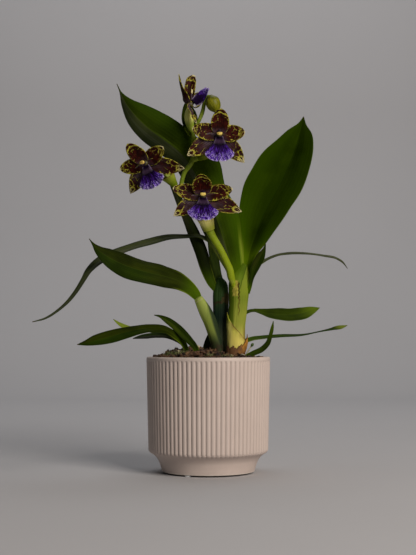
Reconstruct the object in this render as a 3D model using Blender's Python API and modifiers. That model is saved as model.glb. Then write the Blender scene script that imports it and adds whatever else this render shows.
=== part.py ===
"""Potted zygopetalum orchid: a reeded ceramic pot of bark, growths, leaves and a spike in bloom.

Run with: blender --background --python part.py
All sizes below are millimetres and become metres where a mesh is made. +Z is up, the front of the
plant faces -Y, and the origin is on the pot's axis at the surface that the pot's pads stand on.
"""

import math
import random

import bmesh
import bpy
import numpy as np
from mathutils import Matrix, Vector

MM = 0.001
CLEARANCE = 0.3          # gap between touching pieces
BLADE = 0.8              # thickness of leaves, sheaths and petals
NARROWEST = 0.3          # half width that a blade keeps at its very tip

POT_REEDS = 80           # upright reeds around the pot
REED_DEPTH = 1.1         # from a reed's crest to the groove beside it
REED_TOP = 121.8         # the grooves end here, under a plain band
REED_BOTTOM = 23.0
PAD_HEIGHT = 1.4         # clear bumpers under the foot
PAD_RING = 46.5          # the radius that they are stuck on
PAD_ANGLES = (-117.0, 3.0, 123.0)
POT_FOOT = PAD_HEIGHT + CLEARANCE
POT_RIM = 125.2

BARK_LEVEL = 122.9       # the bark at the pot's wall
BARK_MOUND = 10.5        # and how far it is heaped up left of the middle
MOUND_CENTRE = (-16.0, -2.0)
MOUND_SPREAD = (30.0, 36.0)
BARK_CHIPS = 28
GOLDEN_ANGLE = math.radians(137.5)


def clear_scene():
    """Remove whatever the file opened with."""
    for thing in list(bpy.data.objects):
        bpy.data.objects.remove(thing, do_unlink=True)


def new_collection(name):
    """A collection of the scene."""
    group = bpy.data.collections.new(name)
    bpy.context.scene.collection.children.link(group)
    return group


def material(name, colour, roughness, transmission=0.0):
    """A Principled material of one colour."""
    paint = bpy.data.materials.new(name)
    paint.use_nodes = True
    shader = paint.node_tree.nodes["Principled BSDF"]
    shader.inputs["Base Color"].default_value = (*colour, 1.0)
    shader.inputs["Roughness"].default_value = roughness
    shader.inputs["Transmission Weight"].default_value = transmission
    paint.diffuse_color = (*colour, 1.0)
    return paint


clear_scene()
MODEL = new_collection("potted zygopetalum orchid")
CUTTERS = new_collection("cutters")

GLAZE = material("matte pinkish beige glaze", (0.56, 0.43, 0.37), 0.55)
CLEAR = material("clear bumper", (0.85, 0.86, 0.86), 0.15, 0.8)
BARK = material("pine bark", (0.10, 0.05, 0.028), 0.85)
DARK_LEAF = material("dark leaf", (0.020, 0.055, 0.012), 0.38)
LEAF = material("leaf", (0.035, 0.10, 0.010), 0.38)
YOUNG_LEAF = material("young leaf", (0.09, 0.20, 0.02), 0.42)
SHEATH = material("yellow green sheath", (0.30, 0.36, 0.06), 0.5)
BLUE_SHEATH = material("blue green sheath", (0.025, 0.06, 0.035), 0.45)
DRY_SHEATH = material("dry brown sheath", (0.28, 0.12, 0.04), 0.7)
STALK = material("flower stalk", (0.28, 0.36, 0.05), 0.45)
BRACT = material("papery bract", (0.42, 0.40, 0.14), 0.6)
TEPAL = material("maroon tepal", (0.055, 0.012, 0.018), 0.42)
LIP = material("violet lip", (0.12, 0.06, 0.36), 0.5)
COLUMN = material("cream column", (0.65, 0.50, 0.14), 0.4)
ROOT = material("pale root", (0.45, 0.47, 0.30), 0.6)


def add_object(name, mesh, paint, group=MODEL):
    """An object of the model, or a cutter, which doesn't render."""
    thing = bpy.data.objects.new(name, mesh)
    if paint is not None:
        mesh.materials.clear()
        mesh.materials.append(paint)
    group.objects.link(thing)
    if group is CUTTERS:
        thing.hide_render = True
        thing.display_type = "WIRE"
    return thing


def mesh_from(name, points, faces):
    """A mesh from points in millimetres."""
    mesh = bpy.data.meshes.new(name)
    mesh.from_pydata([tuple(p) for p in np.asarray(points, float) * MM], [], faces)
    return mesh


def face_outward(mesh):
    """Weld the mesh's seams and turn its faces outward."""
    shape = bmesh.new()
    shape.from_mesh(mesh)
    bmesh.ops.remove_doubles(shape, verts=shape.verts, dist=0.00001)
    bmesh.ops.recalc_face_normals(shape, faces=shape.faces)
    shape.to_mesh(mesh)
    shape.free()


def applied(thing):
    """The object's mesh as its modifiers leave it."""
    bpy.context.view_layer.update()
    seen = thing.evaluated_get(bpy.context.evaluated_depsgraph_get())
    return bpy.data.meshes.new_from_object(seen)


def fuse(name, pieces, paint):
    """One solid from pieces that cross: a Boolean union on a collection, applied."""
    rest = new_collection(name + " pieces")
    for piece in pieces[1:]:
        for group in list(piece.users_collection):
            group.objects.unlink(piece)
        rest.objects.link(piece)
    joint = pieces[0].modifiers.new("join", "BOOLEAN")
    joint.operation = "UNION"
    joint.operand_type = "COLLECTION"
    joint.collection = rest
    whole = add_object(name, applied(pieces[0]), paint)
    for piece in pieces:
        bpy.data.objects.remove(piece, do_unlink=True)
    bpy.data.collections.remove(rest)
    return whole


def cut(thing, cutters, label):
    """Cut every cutter out of the object, with one Boolean on their own collection."""
    group = new_collection(label)
    for cutter in cutters:
        CUTTERS.objects.unlink(cutter)
        group.objects.link(cutter)
    CUTTERS.children.link(group)
    bpy.context.scene.collection.children.unlink(group)
    seat = thing.modifiers.new(label, "BOOLEAN")
    seat.operation = "DIFFERENCE"
    seat.operand_type = "COLLECTION"
    seat.collection = group


def unit(rows):
    """The same directions at length one."""
    return rows / np.linalg.norm(rows, axis=-1, keepdims=True)


def smooth_rows(stations, count):
    """Read the stations at even steps along one smooth curve through them (cubic Hermite)."""
    rows = np.array(stations, float)
    steps = np.linalg.norm(np.diff(rows[:, :3], axis=0), axis=1)
    at = np.concatenate([[0.0], np.cumsum(steps)])
    slopes = np.gradient(rows, at, axis=0)
    want = np.linspace(0.0, at[-1], count)
    k = np.clip(np.searchsorted(at, want, side="right") - 1, 0, len(at) - 2)
    h = (at[k + 1] - at[k])[:, None]
    t = (want - at[k])[:, None] / h
    start, end = rows[k], rows[k + 1]
    leave, arrive = slopes[k] * h, slopes[k + 1] * h
    return ((2 * t**3 - 3 * t**2 + 1) * start + (t**3 - 2 * t**2 + t) * leave
            + (3 * t**2 - 2 * t**3) * end + (t**3 - t**2) * arrive)


def frame_along(centre, roll=0.0):
    """Sideways and facing directions along a path: square to it, facing the front at no roll."""
    tangent = unit(np.gradient(centre, axis=0))
    side = unit(np.cross(tangent, (0.0, -1.0, 0.0)))
    face = np.cross(side, tangent)
    turn = np.radians(roll)
    turn = np.reshape(turn, (-1, 1)) if np.ndim(turn) else turn
    return tangent, np.cos(turn) * side + np.sin(turn) * face, np.cos(turn) * face - np.sin(turn) * side


def blade_grid(stations, fold, lengthwise, across, grow=0.0):
    """Points of a blade: mid-rib stations of x, y, z, left and right half width, and roll in degrees.

    Each half slopes from the mid-rib by the fold: toward the facing side, or away if it is negative.
    """
    rows = smooth_rows(stations, lengthwise + 1)
    centre = rows[:, :3].copy()
    tangent, side, face = frame_along(centre, rows[:, 5])
    centre[0] -= tangent[0] * grow
    spread = np.linspace(-1.0, 1.0, across + 1)
    left = np.maximum(rows[:, 3], NARROWEST) + grow
    right = np.maximum(rows[:, 4], NARROWEST) + grow
    reach = np.where(spread < 0, spread * left[:, None], spread * right[:, None])
    lean = math.radians(fold)
    return (centre[:, None] + reach[..., None] * math.cos(lean) * side[:, None]
            + np.abs(reach)[..., None] * math.sin(lean) * face[:, None])


def sheet_mesh(name, grid, closed=False):
    """Triangles over a grid of points, split alike on every square; closed joins its two long edges."""
    rows, columns = grid.shape[:2]
    faces = []
    for i in range(rows - 1):
        for j in range(columns if closed else columns - 1):
            a, b = i * columns + j, i * columns + (j + 1) % columns
            faces += [(a, b, b + columns), (a, b + columns, a + columns)]
    return mesh_from(name, grid.reshape(-1, 3), faces)


def tube_mesh(name, rings):
    """A closed solid through a stack of rings of points, with a flat cap at each end."""
    mesh = sheet_mesh(name, rings, closed=True)
    shape = bmesh.new()
    shape.from_mesh(mesh)
    bmesh.ops.holes_fill(shape, edges=shape.edges, sides=rings.shape[1])
    bmesh.ops.recalc_face_normals(shape, faces=shape.faces)
    shape.to_mesh(mesh)
    shape.free()
    return mesh


def thicken(thing, thickness):
    """Give an open sheet its thickness, half to each side."""
    wall = thing.modifiers.new("thickness", "SOLIDIFY")
    wall.thickness = thickness * MM
    wall.offset = 0.0
    return thing


def blade(name, stations, fold, paint, lengthwise, across):
    """A leaf, sepal or petal: a folded sheet of even thickness."""
    grid = blade_grid(stations, fold, lengthwise, across)
    return thicken(add_object(name, sheet_mesh(name, grid), paint), BLADE)


def seat_cutter(name, stations, fold, lengthwise, across, rows):
    """The room that the first rows of a blade need, with clearance all round."""
    grid = blade_grid(stations, fold, lengthwise, across, CLEARANCE)[:rows + 1]
    cutter = add_object(name + " seat", sheet_mesh(name + " seat", grid), None, CUTTERS)
    return thicken(cutter, BLADE + 2 * CLEARANCE)


def loft_mesh(name, stations, count, sides, grow=0.0):
    """A closed stem from elliptical sections: stations of x, y, z, half width and half depth."""
    rows = smooth_rows(stations, count)
    tangent, side, face = frame_along(rows[:, :3])
    centre = rows[:, :3].copy()
    centre[0] -= tangent[0] * grow
    angles = np.arange(sides) * 2 * math.pi / sides
    wide = (rows[:, 3:4] + grow) * np.cos(angles)
    deep = (rows[:, 4:5] + grow) * np.sin(angles)
    rings = centre[:, None] + wide[..., None] * side[:, None] + deep[..., None] * face[:, None]
    return tube_mesh(name, rings)


def stalk_mesh(name, stations, count, resolution, grow=0.0):
    """A round stalk: a curve through stations of x, y, z and radius, made a mesh with its caps welded."""
    curve = bpy.data.curves.new(name, "CURVE")
    curve.dimensions = "3D"
    curve.bevel_depth = MM
    curve.bevel_resolution = resolution
    curve.use_fill_caps = True
    route = smooth_rows(stations, count)
    tangent = unit(np.gradient(route[:, :3], axis=0))
    route[0, :3] -= tangent[0] * grow
    route[-1, :3] += tangent[-1] * grow
    spline = curve.splines.new("POLY")
    spline.points.add(count - 1)
    for point, (x, y, z, radius) in zip(spline.points, route):
        point.co = (x * MM, y * MM, z * MM, 1.0)
        point.radius = radius + grow
    guide = add_object(name, curve, None, CUTTERS)
    mesh = applied(guide)
    bpy.data.objects.remove(guide, do_unlink=True)
    face_outward(mesh)
    return mesh


def make_pot():
    """The ceramic pot: a turned profile, with its outer wall drawn in between the reeds."""
    profile = (
        (0.0, 10.0), (45.0, 10.0), (60.0, 27.0), (62.8, 123.2), (64.2, POT_RIM), (66.4, POT_RIM),
        (67.5, 123.8), (67.45, REED_TOP), (65.1, REED_BOTTOM + 1.4), (62.9, 21.8), (57.2, 18.4),
        (53.2, 11.8), (50.2, POT_FOOT), (43.5, POT_FOOT), (42.0, POT_FOOT + 2.0), (0.0, POT_FOOT + 2.0),
    )
    outline = bpy.data.meshes.new("pot outline")
    edges = [(i, i + 1) for i in range(len(profile) - 1)]
    outline.from_pydata([(r * MM, 0.0, z * MM) for r, z in profile], edges, [])
    turned = add_object("pot outline", outline, None)
    columns = 2 * POT_REEDS
    turn = turned.modifiers.new("turn", "SCREW")
    turn.steps = columns
    turn.render_steps = columns
    turn.use_merge_vertices = True
    turn.merge_threshold = 0.00001
    mesh = applied(turned)
    bpy.data.objects.remove(turned, do_unlink=True)
    for vertex in mesh.vertices:
        x, y, z = vertex.co
        radius = math.hypot(x, y)
        column = round(math.atan2(y, x) / (2 * math.pi) * columns)
        reeded = REED_BOTTOM * MM < z < (REED_TOP + 0.1) * MM and radius > 63.5 * MM
        if column % 2 and reeded:
            drawn_in = 1.0 - REED_DEPTH * MM / radius
            vertex.co.x *= drawn_in
            vertex.co.y *= drawn_in
    face_outward(mesh)
    mesh.shade_smooth()
    mesh.set_sharp_from_angle(angle=math.radians(35))
    add_object("pot", mesh, GLAZE)


def make_pads():
    """Three clear domed bumpers stuck under the foot ring, each with a flat worn spot."""
    for number, degrees in enumerate(PAD_ANGLES, 1):
        mesh = bpy.data.meshes.new(f"pad_{number}")
        shape = bmesh.new()
        bmesh.ops.create_cone(shape, cap_ends=True, segments=16, radius1=2.9 * MM, radius2=4.0 * MM,
                              depth=PAD_HEIGHT * MM)
        shape.to_mesh(mesh)
        shape.free()
        pad = add_object(f"pad_{number}", mesh, CLEAR)
        turn = math.radians(degrees)
        ring = PAD_RING * MM
        pad.location = (ring * math.cos(turn), ring * math.sin(turn), PAD_HEIGHT / 2 * MM)


def bark_height(x, y):
    """The heap's height: a level bed with a broad mound left of the middle."""
    across = (x - MOUND_CENTRE[0]) / MOUND_SPREAD[0]
    along = (y - MOUND_CENTRE[1]) / MOUND_SPREAD[1]
    return BARK_LEVEL + BARK_MOUND * np.exp(-across**2 - along**2)


def bark_bed():
    """The body of the bark: it fills the pot, clear of its wall, under a mounded top."""
    columns = 30
    angles = np.arange(columns) * 2 * math.pi / columns
    radii = (1.0, 14.0, 27.0, 39.0, 50.0, 61.0)
    rings = []
    for radius in radii:
        x, y = radius * np.cos(angles), radius * np.sin(angles)
        rings.append(np.stack([x, y, bark_height(x, y)], axis=1))
    for radius, height in ((62.1, BARK_LEVEL - 1.0), (59.3, 27.4), (44.5, 10.0 + CLEARANCE)):
        rings.append(np.stack([radius * np.cos(angles), radius * np.sin(angles),
                               np.full(columns, height)], axis=1))
    return add_object("bark bed", tube_mesh("bark bed", np.array(rings)), BARK)


def bark_chip(number, draw):
    """One chip of bark, a wedge tipped into the bed; the seeded draw scatters the chips evenly."""
    radius = 53.0 * math.sqrt((number + 0.5) / BARK_CHIPS)
    x = radius * math.cos(number * GOLDEN_ANGLE)
    y = radius * math.sin(number * GOLDEN_ANGLE)
    length, width, depth = draw.uniform(9, 15), draw.uniform(6, 9), draw.uniform(3.0, 4.5)
    tilt, roll = draw.uniform(-0.3, 0.3), draw.uniform(-0.3, 0.3)
    spin = Matrix.Rotation(draw.uniform(0, math.pi), 4, "Z")
    turn = spin @ Matrix.Rotation(tilt, 4, "X") @ Matrix.Rotation(roll, 4, "Y")
    place = Matrix.Translation(Vector((x, y, float(bark_height(x, y)) + 0.4)) * MM)
    shape = bmesh.new()
    bmesh.ops.create_cube(shape, size=MM)
    bmesh.ops.scale(shape, verts=shape.verts, vec=(length, width, depth))
    for vertex in shape.verts:
        if vertex.co.z > 0:
            vertex.co.x *= 0.8
            vertex.co.y *= 0.75
    bmesh.ops.transform(shape, verts=shape.verts, matrix=place @ turn)
    mesh = bpy.data.meshes.new("bark chip")
    shape.to_mesh(mesh)
    shape.free()
    return add_object("bark chip", mesh, BARK)


def make_bark(holes):
    """The bark in the pot: its bed and the chips that stand out of it, with holes for what grows there."""
    draw = random.Random(7)
    chips = [bark_chip(number, draw) for number in range(BARK_CHIPS)]
    bark = fuse("bark", [bark_bed(), *chips], BARK)
    cut(bark, holes, "holes in the bark")


# Growths: stations of x, y, z, half width and half depth, from below the bark upward.
MAIN_GROWTH = (
    (29.5, -4.0, 119.6, 6.4, 6.0), (29.8, -4.0, 130.6, 7.4, 6.6), (31.0, -4.0, 140.6, 9.0, 7.6),
    (31.0, -4.0, 149.6, 8.9, 7.4), (30.8, -4.0, 160.6, 9.4, 7.2), (31.8, -4.0, 172.6, 9.9, 7.2),
    (32.6, -4.0, 182.6, 10.2, 7.6), (33.2, -4.0, 194.6, 11.0, 7.8), (34.0, -3.6, 205.6, 11.5, 6.4),
    (35.4, -2.9, 213.6, 10.0, 4.2), (37.4, -2.2, 220.6, 6.4, 2.5), (39.0, -1.8, 226.6, 2.8, 1.3),
)
MIDDLE_GROWTH = (
    (13.6, 10.5, 119.6, 6.0, 5.0), (13.6, 10.5, 138.6, 7.0, 5.4), (13.6, 10.5, 158.6, 7.8, 5.6),
    (13.8, 10.5, 178.6, 8.4, 5.8), (13.8, 10.8, 196.6, 8.3, 5.6), (13.8, 11.0, 205.6, 6.8, 4.6),
    (12.6, 11.2, 211.6, 3.0, 2.4),
)
LEFT_GROWTH = (
    (10.0, -6.5, 119.6, 5.2, 4.6), (9.6, -6.6, 135.6, 5.8, 5.0), (5.6, -8.0, 151.6, 6.3, 5.0),
    (1.8, -10.0, 163.6, 6.8, 4.8), (-3.6, -12.0, 175.1, 6.6, 4.3), (-10.6, -14.0, 188.2, 4.6, 3.6),
)


def growth(name, stations, paint, count, sides=12):
    """A growth: the closed bundle of leaf bases that a fan of leaves stands in."""
    return add_object(name, loft_mesh(name, stations, count, sides), paint)


def hole(name, stations, grow, sides=12):
    """The room in the bark for the foot of a growth."""
    return add_object(name + " hole", loft_mesh(name, stations, 10, sides, grow), None, CUTTERS)


def sheath(name, paint, inside, top):
    """A sheath round the main growth's base: inside is its distance from the growth.

    top gives the height of its edge, from the angle seen from above (0 is right, -90 the front).
    """
    columns, levels, foot = 16, 4, 121.6
    turns = np.arange(columns) * 2 * math.pi / columns
    edge = np.array([top(math.degrees(math.atan2(math.sin(a), math.cos(a)))) for a in turns])
    stations = np.array(MAIN_GROWTH, float)
    reach = inside + BLADE / 2
    grid = np.zeros((levels, columns, 3))
    for level in range(levels):
        z = foot + (edge - foot) * level / (levels - 1)
        x, y, wide, deep = (np.interp(z, stations[:, 2], stations[:, k]) for k in (0, 1, 3, 4))
        x = x + (wide + reach) * np.cos(turns)
        y = y + (deep + reach) * np.sin(turns)
        grid[level] = np.stack([x, y, z], axis=1)
    thicken(add_object(name, sheet_mesh(name, grid, closed=True), paint), BLADE)


def outer_edge(degrees):
    """The pale outer sheath: a point at the left, and an edge that runs down across the front."""
    from_left = 180 - abs(degrees)
    return 144.6 + 29.0 * max(0.0, 1.0 - from_left / 118.0) ** 1.4


def dry_edge(degrees):
    """The dry brown sheath: torn low at the front, and standing higher at the right."""
    from_right = abs(degrees)
    return 135.6 + 13.0 * max(0.0, 1.0 - from_right / 75.0) + 1.4 * math.sin(math.radians(degrees * 9))


# Leaves: a fold in degrees, how many steps along and across, and how many of the steps stand in the
# growth or the bark. The stations from base to tip give the mid-rib's x, y, z, the half widths left
# and right of it, and the blade's roll in degrees.
LEAVES = {
    "leaf_back_left": (DARK_LEAF, -24, 20, 4, 2, (
        (31.5, -2.5, 195.5, 4.6, 6, 0), (28.5, -5, 210.5, 6.2, 9.5, 2), (26.5, -6, 219.5, 7.8, 12, 5),
        (22.8, -7, 233.5, 12.5, 13.2, 7), (19, -8, 246.5, 17, 13, 8),
        (10, -11, 274.5, 23.5, 17, 10), (0, -14, 301, 22, 21, 14), (-12, -17, 321.5, 20, 29, 18),
        (-28, -21, 344.5, 19.5, 25, 20), (-47, -25, 359.5, 19, 25, 20), (-64, -29, 371.5, 18, 22.5, 20),
        (-78, -33, 384.5, 14.5, 16.5, 20), (-89, -37, 398.5, 6.4, 7, 18), (-94, -39, 408.5, 1.3, 1.3, 10),
        (-98, -41, 417.5, 0.3, 0.3, 0))),
    "leaf_large_right": (LEAF, 24, 18, 4, 2, (
        (41.5, 0.5, 195.5, 3.4, 3.2, 0), (42.5, 3.2, 217.5, 5.4, 5, 4), (45, 6, 235.5, 7.5, 8, 6),
        (51, 8, 255.5, 16, 17, 9), (59, 12, 276.5, 25.5, 25, 12), (70, 17, 297.5, 34, 28.5, 15),
        (81, 22, 317.5, 36.5, 30.5, 16), (91, 27, 339.5, 34, 28.5, 16), (99, 32, 360, 25, 24, 16),
        (104, 36, 377.5, 14.5, 16, 14), (107, 39, 389.5, 4.5, 5, 10), (109, 41, 398.5, 0.3, 0.3, 0))),
    "leaf_small_right": (DARK_LEAF, 20, 9, 2, 1, (
        (43.2, -7, 194.5, 2.3, 2.2, 0), (45.5, -7, 200, 3.4, 3.2, 0), (48.2, -7.5, 211, 4.3, 4.2, 0),
        (52.5, -8, 224, 5.8, 5.8, 4), (57.5, -8, 235, 4.8, 4.8, 4), (61, -8, 242.5, 1.9, 1.9, 0),
        (62.6, -8, 248.5, 0.3, 0.3, 0))),
    "leaf_arching_right": (DARK_LEAF, 10, 14, 2, 1, (
        (38.5, 2.5, 195.5, 1.8, 1.8, 0), (41.5, 6, 207.5, 2.6, 2.6, 30), (48.5, 12, 219.5, 3.6, 3.6, 60),
        (63, 22, 231.5, 4.2, 4.2, 78), (75, 33, 237.5, 4.6, 4.6, 82), (91, 50, 241.5, 4.8, 4.8, 84),
        (112, 72, 243.5, 4.8, 4.8, 84), (136, 95, 242.5, 4.4, 4.4, 84), (154, 113, 240.5, 3.6, 3.6, 82),
        (162.5, 121, 236.5, 2.2, 2.2, 76), (168.5, 127, 230, 0.3, 0.3, 70))),
    "leaf_long_left": (DARK_LEAF, 10, 24, 2, 1, (
        (31.5, 3, 197.5, 2.4, 2.4, 0), (30.5, 5, 213.5, 2.8, 2.8, 0), (23, 8, 231.5, 3.2, 3.0, -20),
        (6.5, 8.5, 249.5, 4.6, 3.6, -50), (-9, 6, 257.5, 6.2, 4.0, -60), (-26, 0, 257, 7.6, 4.8, -60),
        (-44, -9, 255.5, 7.8, 5, -55), (-64, -19, 249.5, 8, 5.4, -50), (-84, -30, 242.5, 8.4, 5.8, -50),
        (-103, -42, 234, 8.6, 6, -50), (-116, -52, 225.5, 7.6, 5.5, -45), (-124, -60, 216.5, 6, 4.6, -40),
        (-130, -70, 204.5, 4.2, 3.2, -40), (-136, -79, 193, 3.4, 2.6, -40),
        (-142, -88, 183.5, 3.2, 2.4, -45), (-150, -102, 174, 2.8, 2, -50), (-161, -119, 165, 1.8, 1.3, -50),
        (-171.5, -135, 161, 0.3, 0.3, -50))),
    "leaf_middle_left": (LEAF, -18, 16, 4, 1, (
        (-9, -13.5, 185, 2.6, 2.6, -20), (-11.5, -14, 189.5, 4.4, 5.6, -20), (-18, -18, 197.5, 6.7, 9, -25),
        (-30, -26, 206, 9.7, 13, -25), (-47, -38, 211, 11.6, 15.5, -25),
        (-68.5, -53, 215.5, 12.5, 16.5, -25), (-88.5, -67, 221.5, 12, 15.5, -25),
        (-103, -77, 228.5, 9, 11.7, -25), (-113, -83, 235.5, 4.1, 5.2, -20),
        (-118, -87, 241.5, 1.2, 1.5, -15), (-121.5, -90, 246.5, 0.3, 0.3, -10))),
    "leaf_strap_dark": (DARK_LEAF, -20, 12, 2, 1, (
        (10, 8, 196.5, 2.6, 2.6, 0), (4.5, 7.5, 205.5, 5, 4.4, 0), (-1.4, 8, 219.5, 6.5, 6.2, 0),
        (-8.4, 8.5, 242.5, 7.4, 7.4, 0), (-16.2, 8, 261.5, 6.8, 6.8, 0), (-24.7, 6, 280.5, 5, 5, 0),
        (-31.8, 3, 296.5, 4.4, 4.4, 0), (-38.4, 0.5, 312, 3.3, 3.3, 0), (-44.4, -1, 324, 1.6, 1.6, 0),
        (-48.8, -2, 332.5, 0.3, 0.3, 0))),
    "leaf_strap_green": (LEAF, 8, 9, 2, 1, (
        (15.5, 13.4, 197.5, 2.6, 2.4, 0), (12.5, 14.4, 207.5, 4.2, 4.2, 0), (9.6, 15, 217.5, 5, 5, 0),
        (7.2, 15, 230.5, 5.3, 5.3, 0), (5, 15, 245, 5.2, 5.2, 0), (3, 14, 262.5, 4.2, 4.2, 0),
        (1.4, 13, 277.5, 2.4, 2.4, 0), (0.6, 12, 288.5, 0.3, 0.3, 0))),
    "leaf_low_right": (LEAF, 12, 16, 4, 2, (
        (30.5, 15, 120.5, 2.2, 2.2, 0), (32.5, 15.5, 143.5, 2.3, 2.3, 0), (36.5, 16, 163.5, 2.2, 2.2, 0),
        (42, 18, 174, 2, 2.2, 20), (51, 21, 176.5, 2.1, 2.8, 40), (57.5, 24, 175.5, 3.3, 4.7, 40),
        (67, 29, 173.5, 5.8, 8.4, 40), (80, 36, 172.5, 7.7, 11, 40), (95, 45, 172.5, 7.7, 11.2, 40),
        (108, 52, 174.5, 7.6, 10.8, 40), (118.5, 57, 178, 4.7, 6.7, 40), (128, 61, 180.5, 0.3, 0.3, 40))),
    "leaf_lowest_right": (DARK_LEAF, 10, 16, 2, 2, (
        (27.5, 24, 120.5, 2.2, 2.2, 0), (30, 23, 132.5, 2.3, 2.3, 0), (38, 24, 140.5, 2.7, 3.3, 40),
        (47.5, 27, 144.5, 3.3, 4.6, 55), (60.5, 34, 146.5, 3.2, 4.8, 60), (79, 48, 148, 3.2, 4.8, 62),
        (110.5, 82, 149.5, 2.6, 3.6, 72), (130.5, 107, 153, 2, 3, 76), (148, 128, 156.5, 2.2, 3.4, 60),
        (159, 139, 159, 2.8, 4, 45), (170.5, 149, 161.5, 0.3, 0.3, 45))),
    "leaf_short_right": (LEAF, 14, 10, 2, 1, (
        (39.5, -16, 118.5, 2, 2.2, 10), (42, -16.5, 125.5, 2.6, 3, 25), (48, -17, 129, 2.8, 3.6, 30),
        (57.5, -17, 133.5, 2.9, 3.9, 30), (64, -17, 140, 2.6, 3.1, 20), (67, -16, 148, 2.1, 2.2, 10),
        (69, -15, 156, 1.8, 1.8, 0), (70.5, -13, 164, 0.3, 0.3, 0))),
    "leaf_forward_left": (LEAF, 10, 16, 2, 1, (
        (-21, -16, 124.5, 2.4, 2.2, -20), (-27, -24, 140.5, 4, 3.3, -30), (-35.5, -32, 148.5, 4.6, 3.7, -30),
        (-46.5, -45, 155, 5.6, 4.1, -40), (-60.5, -61, 155.5, 8, 5.4, -48), (-74, -79, 153.5, 8.9, 6.3, -45),
        (-87, -97, 150, 9.1, 6.8, -40), (-99.5, -114, 146, 9.3, 7.2, -35), (-110, -128, 143, 7.2, 5.9, -30),
        (-118.5, -140, 140.5, 3.4, 2.9, -25), (-126, -149.5, 139, 0.3, 0.3, -25))),
    "leaf_under_left": (DARK_LEAF, 8, 10, 2, 1, (
        (-20, -4, 123.5, 2.4, 2.2, -20), (-26, -9, 138, 3, 2.6, -30), (-35, -14, 144, 3.1, 2.4, -40),
        (-45.5, -20, 148, 4.3, 3, -50), (-57, -27, 148.5, 6, 4, -55), (-68.5, -35, 147, 6.4, 4.2, -60),
        (-79.5, -43, 145, 0.5, 0.5, -60))),
    "leaf_short_left": (LEAF, 16, 10, 2, 1, (
        (-10.5, -27, 120.5, 2.3, 2.3, 0), (-14, -28, 135.5, 3.3, 3.3, 0),
        (-20.5, -29.5, 143.5, 4.3, 3.9, -10), (-27.5, -31, 151, 4.9, 4.4, -10),
        (-35.5, -34, 158.5, 4.8, 4.2, -15), (-44.5, -37, 165, 3.9, 3.2, -20),
        (-51, -39, 168.5, 1.8, 1.5, -20), (-57.5, -41, 170, 0.3, 0.3, -20))),
    "leaf_hidden_left": (YOUNG_LEAF, 10, 11, 2, 1, (
        (-18, 6, 124.5, 2.3, 2.2, -30), (-31, 1, 142.5, 2.9, 2.3, -30), (-49.5, -6, 151, 3.8, 2.7, -45),
        (-69.5, -16, 155, 5, 3.2, -55), (-86, -26, 156.5, 4.4, 3, -50), (-94.5, -31, 160.5, 2.2, 1.8, -30),
        (-101, -34, 165.5, 0.3, 0.3, -20))),
    "leaf_stub_behind": (DARK_LEAF, 14, 7, 2, 2, (
        (-2.5, 6, 120.5, 4, 4, 0), (-1, 6, 134.5, 5.1, 5.1, 0), (2, 5.5, 144.5, 4.8, 4.8, 0),
        (4.5, 5, 153.5, 2.7, 2.7, 0), (6, 4.5, 160, 0.3, 0.3, 0))),
}
IN_MAIN_GROWTH = ("leaf_back_left", "leaf_large_right", "leaf_small_right", "leaf_arching_right",
                  "leaf_long_left")
IN_MIDDLE_GROWTH = ("leaf_strap_dark", "leaf_strap_green")
IN_LEFT_GROWTH = ("leaf_middle_left",)


def make_leaves():
    """Every leaf as its own thin blade; returns the room that each one's base needs."""
    seats = {}
    for name, (paint, fold, lengthwise, across, sunk, stations) in LEAVES.items():
        blade(name, stations, fold, paint, lengthwise, across)
        seats[name] = seat_cutter(name, stations, fold, lengthwise, across, sunk + 1)
    return seats


# The spike: stations of x, y, z and radius, for the stem, and for the stalk and ovary of each bloom.
STEM = (
    (29, -6.5, 194.5, 2.3), (27.4, -8.4, 203.5, 2.8), (24.9, -10.6, 211.5, 4), (23, -12, 219.5, 4.4),
    (19.2, -14, 228, 4.4), (12.7, -17, 241, 4.4), (5.1, -20, 253.7, 4.5), (-1.2, -22.5, 266.6, 4.4),
    (-6, -23.8, 275.6, 2.8), (-12.2, -25.5, 285.6, 2.4), (-21, -28, 294.6, 2.4), (-28.5, -30, 305.6, 2.5),
    (-26.6, -31, 320.6, 2.3), (-17, -32, 336.6, 2.6), (-15.9, -33, 352.6, 2.3), (-16.4, -33, 370.6, 2.3),
)
OVARIES = {
    "lower": ((-1, -22, 265.6, 3), (-1.2, -30, 275.6, 3), (-3.4, -39, 286.6, 2.8),
              (-5.6, -46.6, 295.2, 2.6)),
    "left": ((-25, -29, 299.6, 2.2), (-35, -32.5, 308, 2.6), (-43, -37, 318, 2.8),
             (-54, -42, 328.6, 2.8), (-62, -47.6, 333.6, 2.7), (-65, -54.4, 331.2, 2.6)),
    "right": ((-17, -32, 336, 2.3), (-11, -33.3, 338.2, 2.5), (-2, -36.6, 342, 2.8),
              (7, -41, 350.6, 2.8), (11.4, -48.6, 359.6, 2.6)),
    "top": ((-16.4, -33, 366.6, 2.3), (-19.6, -34, 375, 4.2), (-21.2, -36, 384, 4.2),
            (-20, -39.6, 392.4, 2.4)),
    "bud": ((-16, -33, 367.6, 2), (-12.2, -34, 374.6, 1.9), (-6.4, -36, 387.6, 1.8),
            (-3.8, -39.4, 398.2, 1.7), (-1.4, -42, 403.2, 1.7), (1, -43.2, 403.4, 1.6)),
}


def make_spike(hearts):
    """The stem and the five stalks that branch from it, in one piece; returns the stem's seat."""
    parts = [add_object("stem", stalk_mesh("stem", STEM, 22, 2), STALK)]
    for name, stations in OVARIES.items():
        parts.append(add_object(name + " stalk", stalk_mesh(name, stations, 7, 2), STALK))
    cut(fuse("spike", parts, STALK), hearts, "heart seats")
    foot = stalk_mesh("stem seat", STEM[:5], 9, 2, 1.5 * CLEARANCE)
    return add_object("stem seat", foot, None, CUTTERS)


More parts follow.
